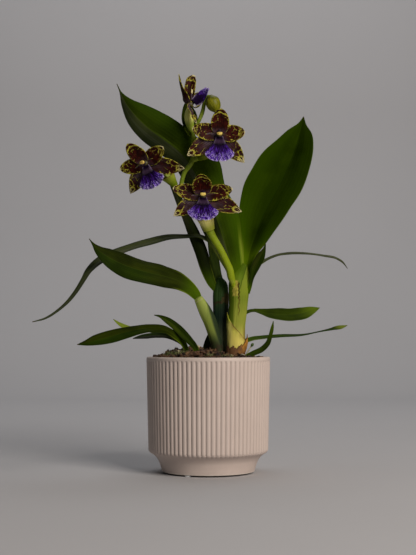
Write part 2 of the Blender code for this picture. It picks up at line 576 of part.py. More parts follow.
def funnel(name, start, end, open_lift):
    """A papery bract: a funnel round a stalk, from its tight foot (x, y, z, radius) to its open end."""
    columns, levels = 10, 3
    low, high = np.array(start, float), np.array(end, float)
    axis = unit(high[:3] - low[:3])
    across = unit(np.cross(axis, (0.0, -1.0, 0.0)))
    toward = np.cross(across, axis)
    turns = np.arange(columns) * 2 * math.pi / columns
    ring = np.cos(turns)[:, None] * across + np.sin(turns)[:, None] * toward
    grid = []
    for level in range(levels):
        t = level / (levels - 1)
        middle = low + (high - low) * t
        lift = open_lift * t * np.cos(turns)[:, None] * axis
        grid.append(middle[:3] + middle[3] * ring + lift)
    thicken(add_object(name, sheet_mesh(name, np.array(grid), closed=True), BRACT), BLADE)


def make_bracts():
    """The papery bracts at the nodes of the stem, and the green boat behind the top bloom."""
    funnel("bract_lower", (0.9, -21.6, 262.4, 6.0), (-3.2, -26.6, 276.1, 9.0), 1.5)
    funnel("bract_left", (-35.6, -32.8, 308.8, 3.4), (-43.4, -37.0, 318.6, 7.2), -1.0)
    funnel("bract_right", (-10.4, -33.5, 338.4, 3.3), (-2.2, -36.5, 341.9, 5.0), 0.8)
    boat = ((-18.6, -28.6, 363, 2.4, 2.4, 0), (-19.4, -27, 371, 7, 7, 0), (-20, -25.8, 380, 9.4, 9.4, 0),
            (-21, -26, 389, 8.6, 8, 0), (-22.5, -27.6, 396, 5.6, 4.4, 0), (-24, -29, 402, 0.3, 0.3, 0))
    blade("bract_top", boat, 26, DARK_LEAF, 7, 4)


# Blooms: the centre, the way the bloom faces, its up side, and for each of the five tepals the angle
# round the face, its length, half width, and forward tilt at the base and the tip; then the lip's
# radius, half spread in degrees and forward reach.
HEART = 3.2
TIP_SHARPNESS = (0.5, 0.55, 0.55, 0.8, 0.8)    # blunt dorsal sepal and petals, pointed lower sepals
BLOOMS = {
    "lower": ((-5.6, -50, 295.5), (0.0, -1.0, 0.05), (0.0, 0.05, 1.0), (
        (96, 27, 9.4, 28, 62), (166, 32, 7.6, 2, 12), (13, 31, 7.6, 2, 10),
        (214.5, 36.5, 8.0, -3, 4), (-22.5, 43, 8.4, -3, 4)), (27.5, 43.5, 6.0)),
    "left": ((-66.0, -58, 329.2), (-0.28, -0.87, -0.40), (-0.48, -0.23, 0.85), (
        (97, 28, 8.2, 10, 30), (166, 28, 7.6, 2, 12), (14, 28, 7.8, 2, 12),
        (213, 38, 7.8, -3, 4), (-33, 42, 8.2, -3, 4)), (26.5, 41.5, 6.0)),
    "right": ((11.6, -52, 360.2), (0.03, -1.0, 0.0), (0.0, 0.0, 1.0), (
        (87, 27.5, 8.8, 14, 36), (167, 28.5, 8.2, 2, 10), (6, 26.5, 8.2, 2, 10),
        (213, 39.5, 8.8, -3, 4), (-48, 38.5, 8.2, -3, 4)), (29.5, 37.5, 6.0)),
}
# The top bloom faces up and to the right, so its tepals are given by their own stations: the dorsal
# sepal seen from behind, the far petal, the sepal behind the lip, the hanging sepal and the near petal.
TOP_HEART = (-19.1, -41.0, 395.1)
TOP_TEPALS = (
    ((-19.2, -41, 395, 3, 3, -125), (-24, -42, 400, 5.6, 6.5, -122), (-27.5, -41, 407, 7, 7, -108),
     (-30, -39.5, 415, 6, 6, -92), (-31.3, -38, 423, 3.6, 3.6, -80), (-31.6, -37, 429, 0.3, 0.3, -75)),
    ((-18.9, -40.5, 396, 2.6, 2.6, 10), (-19.4, -38, 404, 5.4, 5, 10), (-19.6, -36, 411.4, 6.2, 6, 10),
     (-18.9, -34.5, 417.7, 6.2, 5.8, 10), (-17.3, -33, 424, 5.4, 4.6, 10), (-15, -32.5, 428.6, 1.6, 1.2, 10)),
    ((-18.4, -39.8, 396, 2.4, 2.4, 0), (-15.3, -36, 401, 3.8, 3.8, 0), (-12.7, -34, 405, 3.8, 3.8, 0),
     (-10, -33, 407.6, 2.8, 2.8, 0), (-7.9, -32.5, 409, 1.6, 1.6, 0), (-6.2, -32, 409.7, 0.3, 0.3, 0)),
    ((-19.4, -42, 394, 2.6, 2.6, 50), (-20.4, -46.5, 390.5, 4.6, 4.6, 60),
     (-19.1, -48.5, 386, 5.2, 5.2, 68), (-16.7, -49.5, 381.3, 5, 5, 68),
     (-14.6, -49.5, 376.6, 3.2, 3.2, 60), (-12.8, -49, 373.2, 0.3, 0.3, 50)),
    ((-18.6, -41.6, 394, 2.2, 2.2, 70), (-14.2, -43, 391, 4.2, 4.2, 78), (-10.5, -43, 392.2, 4.2, 4.2, 80),
     (-7.6, -42.5, 395.8, 0.3, 0.3, 80)),
)
TOP_LIP = ((-14.6, -44.4, 397.4, 3.6, 4.4, 15), (-11.6, -44.6, 399.0, 5.4, 5.4, 30),
           (-7.3, -44.8, 402.8, 6.2, 6.2, 42), (-3.5, -44.8, 407.2, 6, 6, 50),
           (-0.3, -44.5, 411.6, 3.6, 3.6, 55))
TOP_COLUMN = ((-17.8, -44, 399.2, 1), (-18, -44.2, 402, 1), (-17.8, -44, 407, 1.2), (-17.2, -44, 411, 1))


def moved_to(centre):
    """The matrix that carries the origin to a point given in millimetres."""
    return Matrix.Translation(Vector(centre) * MM)


def bloom_matrix(centre, out, up):
    """A bloom is modelled facing -Y with its dorsal sepal up +Z; this turns it to face its own way."""
    out = Vector(out).normalized()
    up = (Vector(up) - out * out.dot(Vector(up))).normalized()
    right = up.cross(out)
    turn = Matrix((right, -out, up)).transposed().to_4x4()
    return moved_to(centre) @ turn


def tepal_stations(angle, length, half_width, tilt_base, tilt_tip, sharpness):
    """Stations of one tepal: its path leans forward step by step, and its width swells, then tapers.

    The width is a sine along the tepal, raised to its tip's sharpness, over a narrow foot.
    """
    steps = 6
    turn = math.radians(angle)
    rows, radial, forward = [], 1.2, 0.0
    for k in range(steps + 1):
        t = k / steps
        width = half_width * (0.34 * (1 - t) ** 1.5 + math.sin(math.pi * t**0.98) ** sharpness)
        rows.append((radial * math.cos(turn), -forward, radial * math.sin(turn), width, width, 0.0))
        tilt = math.radians(tilt_base + (tilt_tip - tilt_base) * (t + 0.5 / steps))
        radial += length / steps * math.cos(tilt)
        forward += length / steps * math.sin(tilt)
    return rows


def heart(name, place, radius, segments, paint=None, group=CUTTERS):
    """The ball where a bloom's tepals meet, or the seat for it in the end of its stalk."""
    mesh = bpy.data.meshes.new(name)
    shape = bmesh.new()
    bmesh.ops.create_uvsphere(shape, u_segments=segments, v_segments=segments // 2 + 1,
                              radius=radius * MM)
    bmesh.ops.transform(shape, verts=shape.verts, matrix=place)
    shape.to_mesh(mesh)
    shape.free()
    return add_object(name, mesh, paint, group)


def make_tepals(name, place, centre, tepals):
    """The three sepals and two petals of one bloom, joined at its heart."""
    pieces = [heart("heart", moved_to(centre), HEART, 8, TEPAL, MODEL)]
    for stations in tepals:
        flat = blade("tepal", stations, 9, TEPAL, 6, 2)
        pieces.append(add_object("tepal", applied(flat), TEPAL))
        bpy.data.objects.remove(flat, do_unlink=True)
    whole = fuse("tepals_" + name, pieces, TEPAL)
    whole.matrix_world = place


def make_lip(name, place, radius, spread, reach):
    """The lip: a fan that opens from a shouldered claw under the column and ruffles at its rim."""
    along = np.linspace(0.0, 1.0, 5)[:, None]
    across = np.linspace(-1.0, 1.0, 10)[None, :]
    claw, shoulder, under_heart = 2.2, 3.2, 3.15
    turn = np.radians(spread) * across * (0.5 + 0.5 * along)
    out = claw + (radius * (1 - 0.05 * across**2 - 0.1 * across**8) - claw) * along
    forward = reach * np.sin(math.pi * 0.62 * along) + 0.9 * along**2 * np.cos(across * 9)
    sideways = out * np.sin(turn) + shoulder * across * (1 - along)
    grid = np.stack([sideways, -under_heart - forward, -0.2 - out * np.cos(turn)], axis=2)
    lip = thicken(add_object("lip_" + name, sheet_mesh("lip_" + name, grid), LIP), BLADE)
    lip.matrix_world = place


def make_column(name, place):
    """The column: a short stout stalk that arches over the lip's claw, with the anther at its end."""
    stations = ((0.0, -3.6, 0.9, 1.9), (0.0, -5.6, 1.7, 2.4), (0.0, -8.0, 1.7, 2.9), (0.0, -9.6, 0.8, 2.4))
    column = add_object("column_" + name, stalk_mesh("column", stations, 5, 2), COLUMN)
    column.matrix_world = place


def make_blooms():
    """All four blooms; returns the room that their hearts need in the ends of the stalks."""
    seats = []
    for name, (centre, out, up, tepals, lip) in BLOOMS.items():
        place = bloom_matrix(centre, out, up)
        shapes = [tepal_stations(*tepal, tip) for tepal, tip in zip(tepals, TIP_SHARPNESS)]
        make_tepals(name, place, (0, 0, 0), shapes)
        make_lip(name, place, *lip)
        make_column(name, place)
        seats.append(heart(name + " seat", moved_to(centre), HEART + CLEARANCE, 16))
    make_tepals("top", Matrix(), TOP_HEART, TOP_TEPALS)
    blade("lip_top", TOP_LIP, 12, LIP, 5, 4)
    add_object("column_top", stalk_mesh("column_top", TOP_COLUMN, 5, 2), COLUMN)
    seats.append(heart("top seat", moved_to(TOP_HEART), HEART + CLEARANCE, 16))
    return seats


def make_bud():
    """The closed bud: an egg that nods from the end of its stalk."""
    stations = ((1.9, -43.4, 402.5, 4, 4), (3.4, -43.8, 399.4, 7, 6.8), (5.6, -44.4, 394.6, 7.7, 7.4),
                (7.8, -45, 389.8, 5.8, 5.6), (9, -45.4, 386.8, 3, 3))
    bud = growth("bud", stations, STALK, 7)
    stalk_end = stalk_mesh("bud seat", OVARIES["bud"], 7, 2, CLEARANCE)
    cut(bud, [add_object("bud seat", stalk_end, None, CUTTERS)], "bud seat")


def make_root():
    """A pale root that comes out of the bark beside the main growth, with its dark growing tip."""
    stations = ((41.5, -9.5, 122.6, 0.8), (42.2, -10, 129.6, 0.8), (44.6, -10.4, 133.4, 0.8),
                (46.6, -10.8, 136.6, 0.9), (47.8, -11, 138.4, 1.7), (48.6, -11.1, 139.6, 1.0))
    add_object("root_tip", stalk_mesh("root_tip", stations, 9, 2), ROOT)
    return add_object("root hole", stalk_mesh("root", stations, 9, 2, CLEARANCE), None, CUTTERS)


def build():
    """Make every piece, and cut the seats of the leaves, the stem and the root."""
    make_pot()
    make_pads()
    seats = make_leaves()
    stem_seat = make_spike(make_blooms())
    main = growth("main_growth", MAIN_GROWTH, SHEATH, 10, 16)
    cut(main, [stem_seat, *(seats.pop(name) for name in IN_MAIN_GROWTH)], "main growth seats")
    middle = growth("middle_growth", MIDDLE_GROWTH, BLUE_SHEATH, 9)
    cut(middle, [seats.pop(name) for name in IN_MIDDLE_GROWTH], "middle growth seats")
    left = growth("left_growth", LEFT_GROWTH, SHEATH, 9)
    cut(left, [seats.pop(name) for name in IN_LEFT_GROWTH], "left growth seats")
    outer_gap = 2 * CLEARANCE
    dry_gap = outer_gap + BLADE + 2 * CLEARANCE
    wrapped = dry_gap + BLADE + CLEARANCE
    sheath("outer_sheath", SHEATH, outer_gap, outer_edge)
    sheath("dry_sheath", DRY_SHEATH, dry_gap, dry_edge)
    make_bracts()
    make_bud()
    make_bark([
        hole("main growth", MAIN_GROWTH[:4], wrapped, 16),
        hole("middle growth", MIDDLE_GROWTH[:3], CLEARANCE),
        hole("left growth", LEFT_GROWTH[:3], CLEARANCE),
        make_root(),
        *seats.values(),
    ])


build()
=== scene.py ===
"""Looks of a potted zygopetalum orchid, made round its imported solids.

Sizes are millimetres unless a name says otherwise, and become metres where a mesh is made. The sections
follow the plant upward from its pot: each holds a piece's sizes, surface and finish. +Z is up, -Y is
the front, and a blade's s runs from -1 at its left margin over 0 at its mid-rib to 1 at its right.
In a paint, x, y and z are a point's place in mm, u and v its place on its surface from 0 to 1, and kind
the number its grid was given.
"""

import math

import bmesh
import bpy
import numpy as np
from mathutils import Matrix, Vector


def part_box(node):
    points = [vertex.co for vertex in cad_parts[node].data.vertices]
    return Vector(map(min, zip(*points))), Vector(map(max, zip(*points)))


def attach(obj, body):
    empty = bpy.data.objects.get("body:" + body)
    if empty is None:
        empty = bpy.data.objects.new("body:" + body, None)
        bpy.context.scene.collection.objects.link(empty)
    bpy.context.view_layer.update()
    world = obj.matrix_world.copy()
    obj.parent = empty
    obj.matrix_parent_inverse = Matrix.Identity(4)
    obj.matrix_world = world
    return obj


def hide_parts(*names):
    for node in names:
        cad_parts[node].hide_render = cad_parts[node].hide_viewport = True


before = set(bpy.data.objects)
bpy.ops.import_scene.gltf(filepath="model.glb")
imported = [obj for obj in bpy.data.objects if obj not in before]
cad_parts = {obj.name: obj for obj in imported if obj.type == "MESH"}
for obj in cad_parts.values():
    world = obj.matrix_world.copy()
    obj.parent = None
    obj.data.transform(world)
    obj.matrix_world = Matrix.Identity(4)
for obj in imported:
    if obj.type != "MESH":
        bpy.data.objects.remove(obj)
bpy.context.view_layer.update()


# The pot is cast stoneware in a matte pinkish beige glaze. Eighty upright reeds run round its wall, from
# a plain rim down to a scalloped edge, over a smooth foot that turns in.
MM = 0.001
WELD = 0.001             # in mm: points closer than this become one
REEDS = 80
STEPS_PER_REED = 10
REED_DEPTH = 1.4
REED_ARC = 0.94          # how much of a half circle a reed's front takes up
REED_TOP = 121.8
REED_END = 23.0
REEDED_RADIUS = 63.2     # the wall past this radius is reeded, so neither the foot nor the inside is
SCALLOP_RISE = 0.9       # how far the edge under the reeds rises between them
SCALLOP_HEIGHT = 22.3
SCALLOP_BAND = 1.4
SCALLOP_RADIUS = 60.5
BARE_CLAY = 3.4          # the foot ring is wiped clean of glaze up to here
POT_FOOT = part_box("pot")[0].z / MM
POT_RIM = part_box("pot")[1].z / MM
# Corners of the pot's section from the middle of its underside, up outside and down inside: radius,
# height, how much of the corner is rounded, and the longest step along the wall that follows it.
POT_CORNERS = (
    (0.0, POT_FOOT + 2.0, 0, 50), (42.0, POT_FOOT + 2.0, 0.6, 2), (43.5, POT_FOOT, 0.5, 8),
    (50.2, POT_FOOT, 0.7, 3), (52.3, 9.0, 3.0, 2), (54.8, 15.0, 2.5, 1), (58.6, 19.3, 2.0, 0.8),
    (63.4, 22.2, 0.9, 0.5), (65.1, 24.4, 1.2, 1.5), (67.45, REED_TOP, 1.0, 1), (67.5, 123.8, 0.9, 1),
    (66.4, POT_RIM, 0.6, 1), (64.2, POT_RIM, 0.8, 1), (62.8, 123.2, 1.0, 40),
    (60.0, 27.0, 8.0, 20), (45.0, 10.0, 8.0, 45), (0.0, 10.0, 0, 1),
)


class Wire:
    """One socket among a material's nodes: arithmetic on it adds Math nodes."""

    def __init__(self, tree, socket):
        self.tree = tree
        self.socket = socket

    def node(self, kind, inputs=None, output=0, **settings):
        """Add a node: its settings come first, then the values or wires of its sockets."""
        made = self.tree.nodes.new(kind)
        for name, value in settings.items():
            setattr(made, name, value)
        for name, value in (inputs or {}).items():
            if isinstance(value, Wire):
                self.tree.links.new(value.socket, made.inputs[name])
            else:
                made.inputs[name].default_value = value
        return Wire(self.tree, made.outputs[output])

    def math(self, operation, *values):
        return self.node("ShaderNodeMath", dict(enumerate(values)), operation=operation)

    def __add__(self, other):
        return self.math("ADD", self, other)

    def __sub__(self, other):
        return self.math("SUBTRACT", self, other)

    def __mul__(self, other):
        return self.math("MULTIPLY", self, other)

    def __pow__(self, other):
        return self.math("POWER", self, other)

    def __radd__(self, other):
        return self.math("ADD", other, self)

    def __rsub__(self, other):
        return self.math("SUBTRACT", other, self)

    def __rmul__(self, other):
        return self.math("MULTIPLY", other, self)

    def __abs__(self):
        return self.math("ABSOLUTE", self)

    def cosine(self):
        return self.math("COSINE", self)

    def root(self):
        return self.math("SQRT", self)

    def fraction(self):
        return self.math("FRACT", self)

    def most(self, other):
        return self.math("MAXIMUM", self, other)

    def angle(self, x):
        """The angle round the origin of the point whose y this is."""
        return self.math("ARCTAN2", self, x)

    def step(self, low, high):
        """Zero up to low, one from high, and a smooth rise between them."""
        return self.node("ShaderNodeMapRange", {"Value": self, "From Min": low, "From Max": high},
                         interpolation_type="SMOOTHSTEP")

    def fade(self, low, high):
        """One up to low, zero from high, and a smooth fall between them."""
        return 1 - self.step(low, high)

    def near(self, value, inside, outside):
        """One within inside of a value, zero past outside of it, and a smooth fall between them."""
        return abs(self - value).fade(inside, outside)

    def blend(self, first, second):
        """The first colour where this is zero and the second where it is one."""
        colours = [colour if isinstance(colour, Wire) else (*colour, 1.0) for colour in (first, second)]
        return self.node("ShaderNodeMix", {0: self, 6: colours[0], 7: colours[1]}, 2, data_type="RGBA")

    def tinted(self, colour):
        """This colour with each of its channels multiplied by another's."""
        return self.node("ShaderNodeMix", {0: 1.0, 6: self, 7: (*colour, 1.0)}, 2,
                         data_type="RGBA", blend_type="MULTIPLY")

    def split(self):
        """The three numbers of a vector."""
        parts = self.node("ShaderNodeSeparateXYZ", {0: self}).socket.node.outputs
        return [Wire(self.tree, part) for part in parts]

    def stretch(self, x, y, z):
        """A vector with each of its numbers scaled."""
        return self.node("ShaderNodeMapping", {"Vector": self, "Scale": (x, y, z)})

    def millimetres(self):
        """A place's x, y and z in mm."""
        return self.stretch(1 / MM, 1 / MM, 1 / MM).split()

    def noise(self, scale, detail=2.0):
        return self.node("ShaderNodeTexNoise", {"Vector": self, "Scale": scale, "Detail": detail})

    def kind(self):
        """The number that build_mesh gave the grid."""
        return self.node("ShaderNodeAttribute", output="Fac", attribute_name="kind")


def new_paint(name, **constants):
    """A Principled material, with values on its shader's own sockets; gives its places and UV too."""
    paint = bpy.data.materials.new(name)
    paint.use_nodes = True
    tree = paint.node_tree
    for socket, value in constants.items():
        tree.nodes["Principled BSDF"].inputs[socket.replace("_", " ")].default_value = value
    reads = tree.nodes.new("ShaderNodeTexCoord")
    return paint, Wire(tree, reads.outputs["Object"]), Wire(tree, reads.outputs["UV"])


def coat(paint, colour, roughness, relief, depth):
    """Send a colour, a roughness and a relief to the shader; depth is the relief's height in mm."""
    shader = paint.node_tree.nodes["Principled BSDF"]
    bump = relief.node("ShaderNodeBump", {"Height": relief, "Distance": depth * MM, "Strength": 1.0})
    for name, value in (("Base Color", colour), ("Roughness", roughness), ("Normal", bump)):
        paint.node_tree.links.new(value.socket, shader.inputs[name])
    return paint


def squares(rows, columns, wrap):
    """Corner numbers and UV of the squares over a grid of points; wrap joins its last column to its first."""
    across = columns if wrap else columns - 1
    i, j = np.meshgrid(np.arange(rows - 1), np.arange(across), indexing="ij")
    i = np.stack([i, i, i + 1, i + 1], axis=-1).reshape(-1, 4)
    j = np.stack([j, j + 1, j + 1, j], axis=-1).reshape(-1, 4)
    uv = np.stack([j / across, i / (rows - 1)], axis=-1)
    return i * columns + j % columns, uv


def build_mesh(grids, wrap=False, closed=False, kinds=None):
    """One mesh over grids of points in mm; closed welds its poles and turns its faces out.

    Each grid's points carry its number, or its value in kinds, as the attribute kind."""
    points, faces, uvs, marks = [], [], [], []
    start = 0
    for number, grid in enumerate(grids):
        rows, columns = grid.shape[:2]
        corners, uv = squares(rows, columns, wrap)
        points.append(grid.reshape(-1, 3))
        faces.append(corners + start)
        uvs.append(uv.reshape(-1, 2))
        marks.append(np.full(rows * columns, number if kinds is None else kinds[number], float))
        start += rows * columns
    mesh = bpy.data.meshes.new("surface")
    mesh.from_pydata((np.concatenate(points) * MM).tolist(), [], np.concatenate(faces).tolist())
    mesh.uv_layers.new(name="UVMap").data.foreach_set("uv", np.concatenate(uvs).ravel())
    mesh.attributes.new("kind", "FLOAT", "POINT").data.foreach_set("value", np.concatenate(marks))
    if closed:
        shape = bmesh.new()
        shape.from_mesh(mesh)
        bmesh.ops.remove_doubles(shape, verts=shape.verts, dist=WELD * MM)
        bmesh.ops.recalc_face_normals(shape, faces=shape.faces)
        shape.to_mesh(mesh)
        shape.free()
    mesh.shade_smooth()
    return mesh


def add_piece(name, mesh, paint, nodes, wall=0.0):
    """Show a mesh as a piece that rides with the pot and stands for these solids; wall thickens a sheet."""
    mesh.name = name
    mesh.materials.append(paint)
    piece = bpy.data.objects.new(name, mesh)
    bpy.context.scene.collection.objects.link(piece)
    if wall:
        thick = piece.modifiers.new("wall", "SOLIDIFY")
        thick.thickness = wall * MM
        thick.offset = 0.0
    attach(piece, "root")
    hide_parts(*nodes)


def ramp(x, low, high):
    """A smooth rise from 0 at low to 1 at high: 3t^2 - 2t^3."""
    t = np.clip((x - low) / (high - low), 0.0, 1.0)
    return t * t * (3.0 - 2.0 * t)


def ring(sides):
    """Even angles round a full turn, in radians."""
    return np.arange(sides) * 2 * math.pi / sides


def rounded(corners, arc=5):
    """A section through corners, each cut back and bridged by a parabola, with steps along the spans."""
    corners = np.array(corners, float)
    place = corners[:, :2]
    run = [place[0]]
    for k in range(1, len(corners)):
        here, last = place[k], run[-1]
        way = (here - place[k - 1]) / np.linalg.norm(here - place[k - 1])
        enter = here - way * corners[k, 2]
        count = max(1, math.ceil(np.linalg.norm(enter - last) / corners[k - 1, 3]))
        run += list(last + (enter - last) * np.linspace(0, 1, count + 1)[1:, None])
        if corners[k, 2]:
            onward = (place[k + 1] - here) / np.linalg.norm(place[k + 1] - here)
            leave = here + onward * corners[k, 2]
            t = np.linspace(0, 1, arc + 1)[1:, None]
            run += list((1 - t) ** 2 * enter + 2 * t * (1 - t) * here + t**2 * leave)
    return np.array(run)


def pot_grid():
    """The section turned round the axis; between the reeds' round crests the wall is drawn in.

    Across one reed, t runs from -1 to 1 and the wall falls by 1 - sqrt(1 - t^2), scaled to the depth.
    The edge under the reeds rises with that fall, by a bell curve of the height."""
    section = rounded(POT_CORNERS)
    turn = ring(REEDS * STEPS_PER_REED)
    t = REED_ARC * ((turn * REEDS / (2 * math.pi) + 0.5) % 1.0 * 2 - 1)
    fall = (1 - np.sqrt(1 - t**2)) / (1 - math.sqrt(1 - REED_ARC**2))
    radius, height = section[:, :1], section[:, 1:]
    reeded = ramp(height, REED_END - 0.4, REED_END + 0.9) * (1 - ramp(height, REED_TOP - 1.8, REED_TOP))
    wall = radius - REED_DEPTH * fall * reeded * (radius > REEDED_RADIUS)
    bell = np.exp(-((height - SCALLOP_HEIGHT) / SCALLOP_BAND) ** 2)
    scallop = SCALLOP_RISE * fall * bell * (radius > SCALLOP_RADIUS)
    return np.stack([wall * np.cos(turn), wall * np.sin(turn), height + scallop], axis=-1)


def glaze_paint():
    """Matte glaze: faint clouding, tiny pits and specks, and painted shade in the grooves between reeds."""
    paint, place, uv = new_paint("matte_glaze", IOR=1.46)
    x, y, z = place.millimetres()
    between = (y.angle(x) * REEDS).cosine() * -1
    reeded = z.step(REED_END - 1.5, REED_END + 1.5) * z.fade(REED_TOP - 1.3, REED_TOP)
    cloud = place.noise(38.0, 3.0)
    body = cloud.blend((0.610, 0.510, 0.455), (0.545, 0.450, 0.400))
    # Painted shade: the grooves between the reeds are darkened.
    body = (between.step(0.2, 1.0) * reeded * 0.60).blend(body, (0.400, 0.325, 0.285))
    specks = place.noise(1500.0, 1.0).step(0.70, 0.78)
    body = (specks * 0.35).blend(body, (0.34, 0.27, 0.23))
    bare = z.fade(BARE_CLAY - 0.8, BARE_CLAY)
    body = bare.blend(body, (0.62, 0.55, 0.49))
    pits = place.noise(900.0, 2.0)
    waves = place.stretch(1.0, 1.0, 0.25).noise(260.0, 1.0)
    rough = 0.52 + cloud * 0.12 + bare * 0.25
    return coat(paint, body, rough, pits * 0.4 + waves * 0.6, 0.12)


pot_mesh = build_mesh([pot_grid()], wrap=True, closed=True)
add_piece("pot_glazed", pot_mesh, glaze_paint(), ["pot"])


# Three clear plastic bumpers stick to the foot ring and keep it off the table. Each is a low dome with
# its flat side up and a worn flat spot below.
PAD_SIDES = 48


def pad_grid(node):
    """A low dome turned round its own axis, from the middle of its worn spot up to the middle of its top."""
    low, high = (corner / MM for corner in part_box(node))
    wide = (high.x - low.x) / 2
    tall = high.z - low.z
    section = rounded(((0, 0, 0, 3), (0.70 * wide, 0, 0.5, 1), (wide, 0.8 * tall, 0.3, 1),
                       (0.97 * wide, tall, 0.1, 1), (0, tall, 0, 1)))
    turn = ring(PAD_SIDES)
    x = (low.x + high.x) / 2 + section[:, :1] * np.cos(turn)
    y = (low.y + high.y) / 2 + section[:, :1] * np.sin(turn)
    return np.stack([x, y, low.z + section[:, 1:] + 0 * turn], axis=-1)


def bumper_paint():
    """Clear soft plastic, a little clouded and scuffed."""
    paint, place, uv = new_paint("clear_bumper", IOR=1.45, Transmission_Weight=0.15)
    cloud = place.noise(700.0)
    body = cloud.blend((0.95, 0.96, 0.97), (0.84, 0.87, 0.89))
    return coat(paint, body, 0.12 + cloud * 0.2, cloud, 0.05)


bumper = bumper_paint()
for number in (1, 2, 3):
    node = f"pad_{number}"
    pad_mesh = build_mesh([pad_grid(node)], wrap=True, closed=True)
    add_piece(f"bumper_{number}", pad_mesh, bumper, [node])


# The pot is filled with chips of pine bark, heaped a little left of the middle. Moss, dry scraps of old
# sheaths and a few pale roots lie on it.
BARK_LEVEL = 122.9
BARK_MOUND = 10.5
MOUND_CENTRE = (-16.0, -2.0)
MOUND_SPREAD = (30.0, 36.0)
BED_RADIUS = 62.0
BED_FOOT = 108.0
CHIPS = 190
CHIP_RADIUS = 57.5
CHIP_HALVES = ((3.2, 7.5), (2.2, 4.4), (0.8, 1.9))
GOLDEN_ANGLE = math.radians(137.5)
GOLDEN_SHARE = 0.618     # the fractions of its multiples are spread evenly, a shade for each chip
MOSS_PATCHES = ((-43, -24, 7), (-34, -30, 8), (-26, -30, 6), (-46, 18, 9), (2, -44, 5), (-6, 30, 10),
                (38, 34, 9), (20, -46, 6))
MOSS_SHOOTS = 240        # on each patch
MOSS_HEIGHTS = (1.5, 3.6)
SCRAPS = 110
SCRAP_SIZES = (2.5, 7.0)
SCRAP_X = (-52, 44)      # they are strewn over this rectangle, but only within the radius
SCRAP_Y = (-46, 30)
SCRAP_RADIUS = 56.0
SCRAP_WALL = 0.3


def lumps(points, size, seed):
    """A smooth random height, mostly within 1: nine sines of unlike directions, added. size is in mm."""
    draw = np.random.default_rng(seed)
    waves = draw.normal(size=(9, points.shape[-1])) / size
    return np.sin(points @ waves.T + draw.uniform(0, 2 * math.pi, 9)).sum(axis=-1) / 3


def bark_height(x, y):
    """A level bed with a broad bell-shaped mound."""
    across = (x - MOUND_CENTRE[0]) / MOUND_SPREAD[0]
    along = (y - MOUND_CENTRE[1]) / MOUND_SPREAD[1]
    return BARK_LEVEL + BARK_MOUND * np.exp(-across**2 - along**2)


def bed_grid():
    """A disc from the middle of its underside out to the pot's wall and back over the lumpy top."""
    turn = ring(150)
    radius = np.concatenate([[0.0, BED_RADIUS, BED_RADIUS], np.linspace(BED_RADIUS - 0.5, 0.0, 60)])[:, None]
    x, y = radius * np.cos(turn), radius * np.sin(turn)
    spot = np.stack([x, y], axis=-1)
    top = bark_height(x, y) + 0.9 * lumps(spot, 3.0, 3) + 0.45 * lumps(spot, 1.1, 4) - 0.6
    top[:2] = BED_FOOT
    top[2] = BARK_LEVEL - 1.5
    return np.stack([x, y, top], axis=-1)


def turned(points, tilt, roll, spin):
    """Points turned about X, then Y, then Z, by angles in radians."""
    for (a, b), angle in (((1, 2), tilt), ((2, 0), roll), ((0, 1), spin)):
        first, second = points[..., a].copy(), points[..., b].copy()
        points[..., a] = first * math.cos(angle) - second * math.sin(angle)
        points[..., b] = first * math.sin(angle) + second * math.cos(angle)
    return points


def chip_grid(half, seed):
    """A rough chip: an ellipsoid with each of its sines and cosines drawn toward a box, then dented."""
    up = np.linspace(-math.pi / 2, math.pi / 2, 6)[:, None]
    turn = ring(9)[None, :]

    def boxy(wave):
        return np.sign(wave) * np.abs(wave) ** 0.45

    level = boxy(np.cos(up)) * (np.abs(up) < 1.5)
    shape = [level * boxy(np.cos(turn)), level * boxy(np.sin(turn)), boxy(np.sin(up)) + 0 * turn]
    points = np.stack(shape, axis=-1) * np.array(half)
    points[1:-1] += 0.35 * lumps(points[1:-1], 2.0, seed)[..., None]
    points[..., 2] += 0.012 * points[..., 0] ** 2
    return points


def strands(roots, leans, lengths, width, bend, seed):
    """Thin pointed shoots: strips that start along their leans and bend by the square of the height."""
    draw = np.random.default_rng(seed)
    t = np.linspace(0.0, 1.0, 4)[None, :, None]
    spin = draw.uniform(0, 2 * math.pi, len(roots))
    flat = np.stack([np.cos(spin), np.sin(spin), 0 * spin], axis=-1)[:, None]
    middle = roots[:, None] + lengths[:, None, None] * (leans[:, None] * t + bend * flat * t**2)
    half = width / 2 * (1 - 0.9 * t) * np.stack([-np.sin(spin), np.cos(spin), 0 * spin], axis=-1)[:, None]
    return np.stack([middle - half, middle + half], axis=2)


def bark_paint():
    """Bark: plates from tan to near black, ridged along the grain, each chip a shade of its own."""
    paint, place, uv = new_paint("pine_bark", IOR=1.4)
    own = (place.kind() * GOLDEN_SHARE).fraction()
    grain = place.stretch(1.0, 1.0, 3.0).noise(420.0, 5.0)
    patch = place.noise(130.0, 3.0)
    body = grain.step(0.35, 0.65).blend((0.012, 0.006, 0.004), (0.150, 0.072, 0.032))
    body = (own.step(0.60, 1.0) * 0.7).blend(body, (0.230, 0.125, 0.060))
    body = (own.fade(0.0, 0.40) * 0.8).blend(body, (0.012, 0.007, 0.005))
    body = (patch.step(0.62, 0.75) * 0.35).blend(body, (0.220, 0.180, 0.120))
    return coat(paint, body, 0.75 + grain * 0.25, grain + patch, 1.3)


def scrap_grid(size, curl, seed):
    """A torn flake: a small sheet bent round its length, its margins ragged."""
    s, v = np.linspace(-1.0, 1.0, 6)[None, :], np.linspace(0.0, 1.0, 8)[:, None]
    torn = 1 + 0.35 * lumps(np.stack([3 * s + 0 * v, 5 * v + 0 * s], axis=-1), 1.0, seed)
    swell = np.sin(math.pi * np.clip(v, 0.06, 0.94)) ** 0.4
    across = s * size * 0.32 * torn * swell
    return np.stack([(v - 0.5) * size + 0 * s, across, curl * size * (s**2 + 1.5 * (v - 0.5) ** 2)], axis=-1)


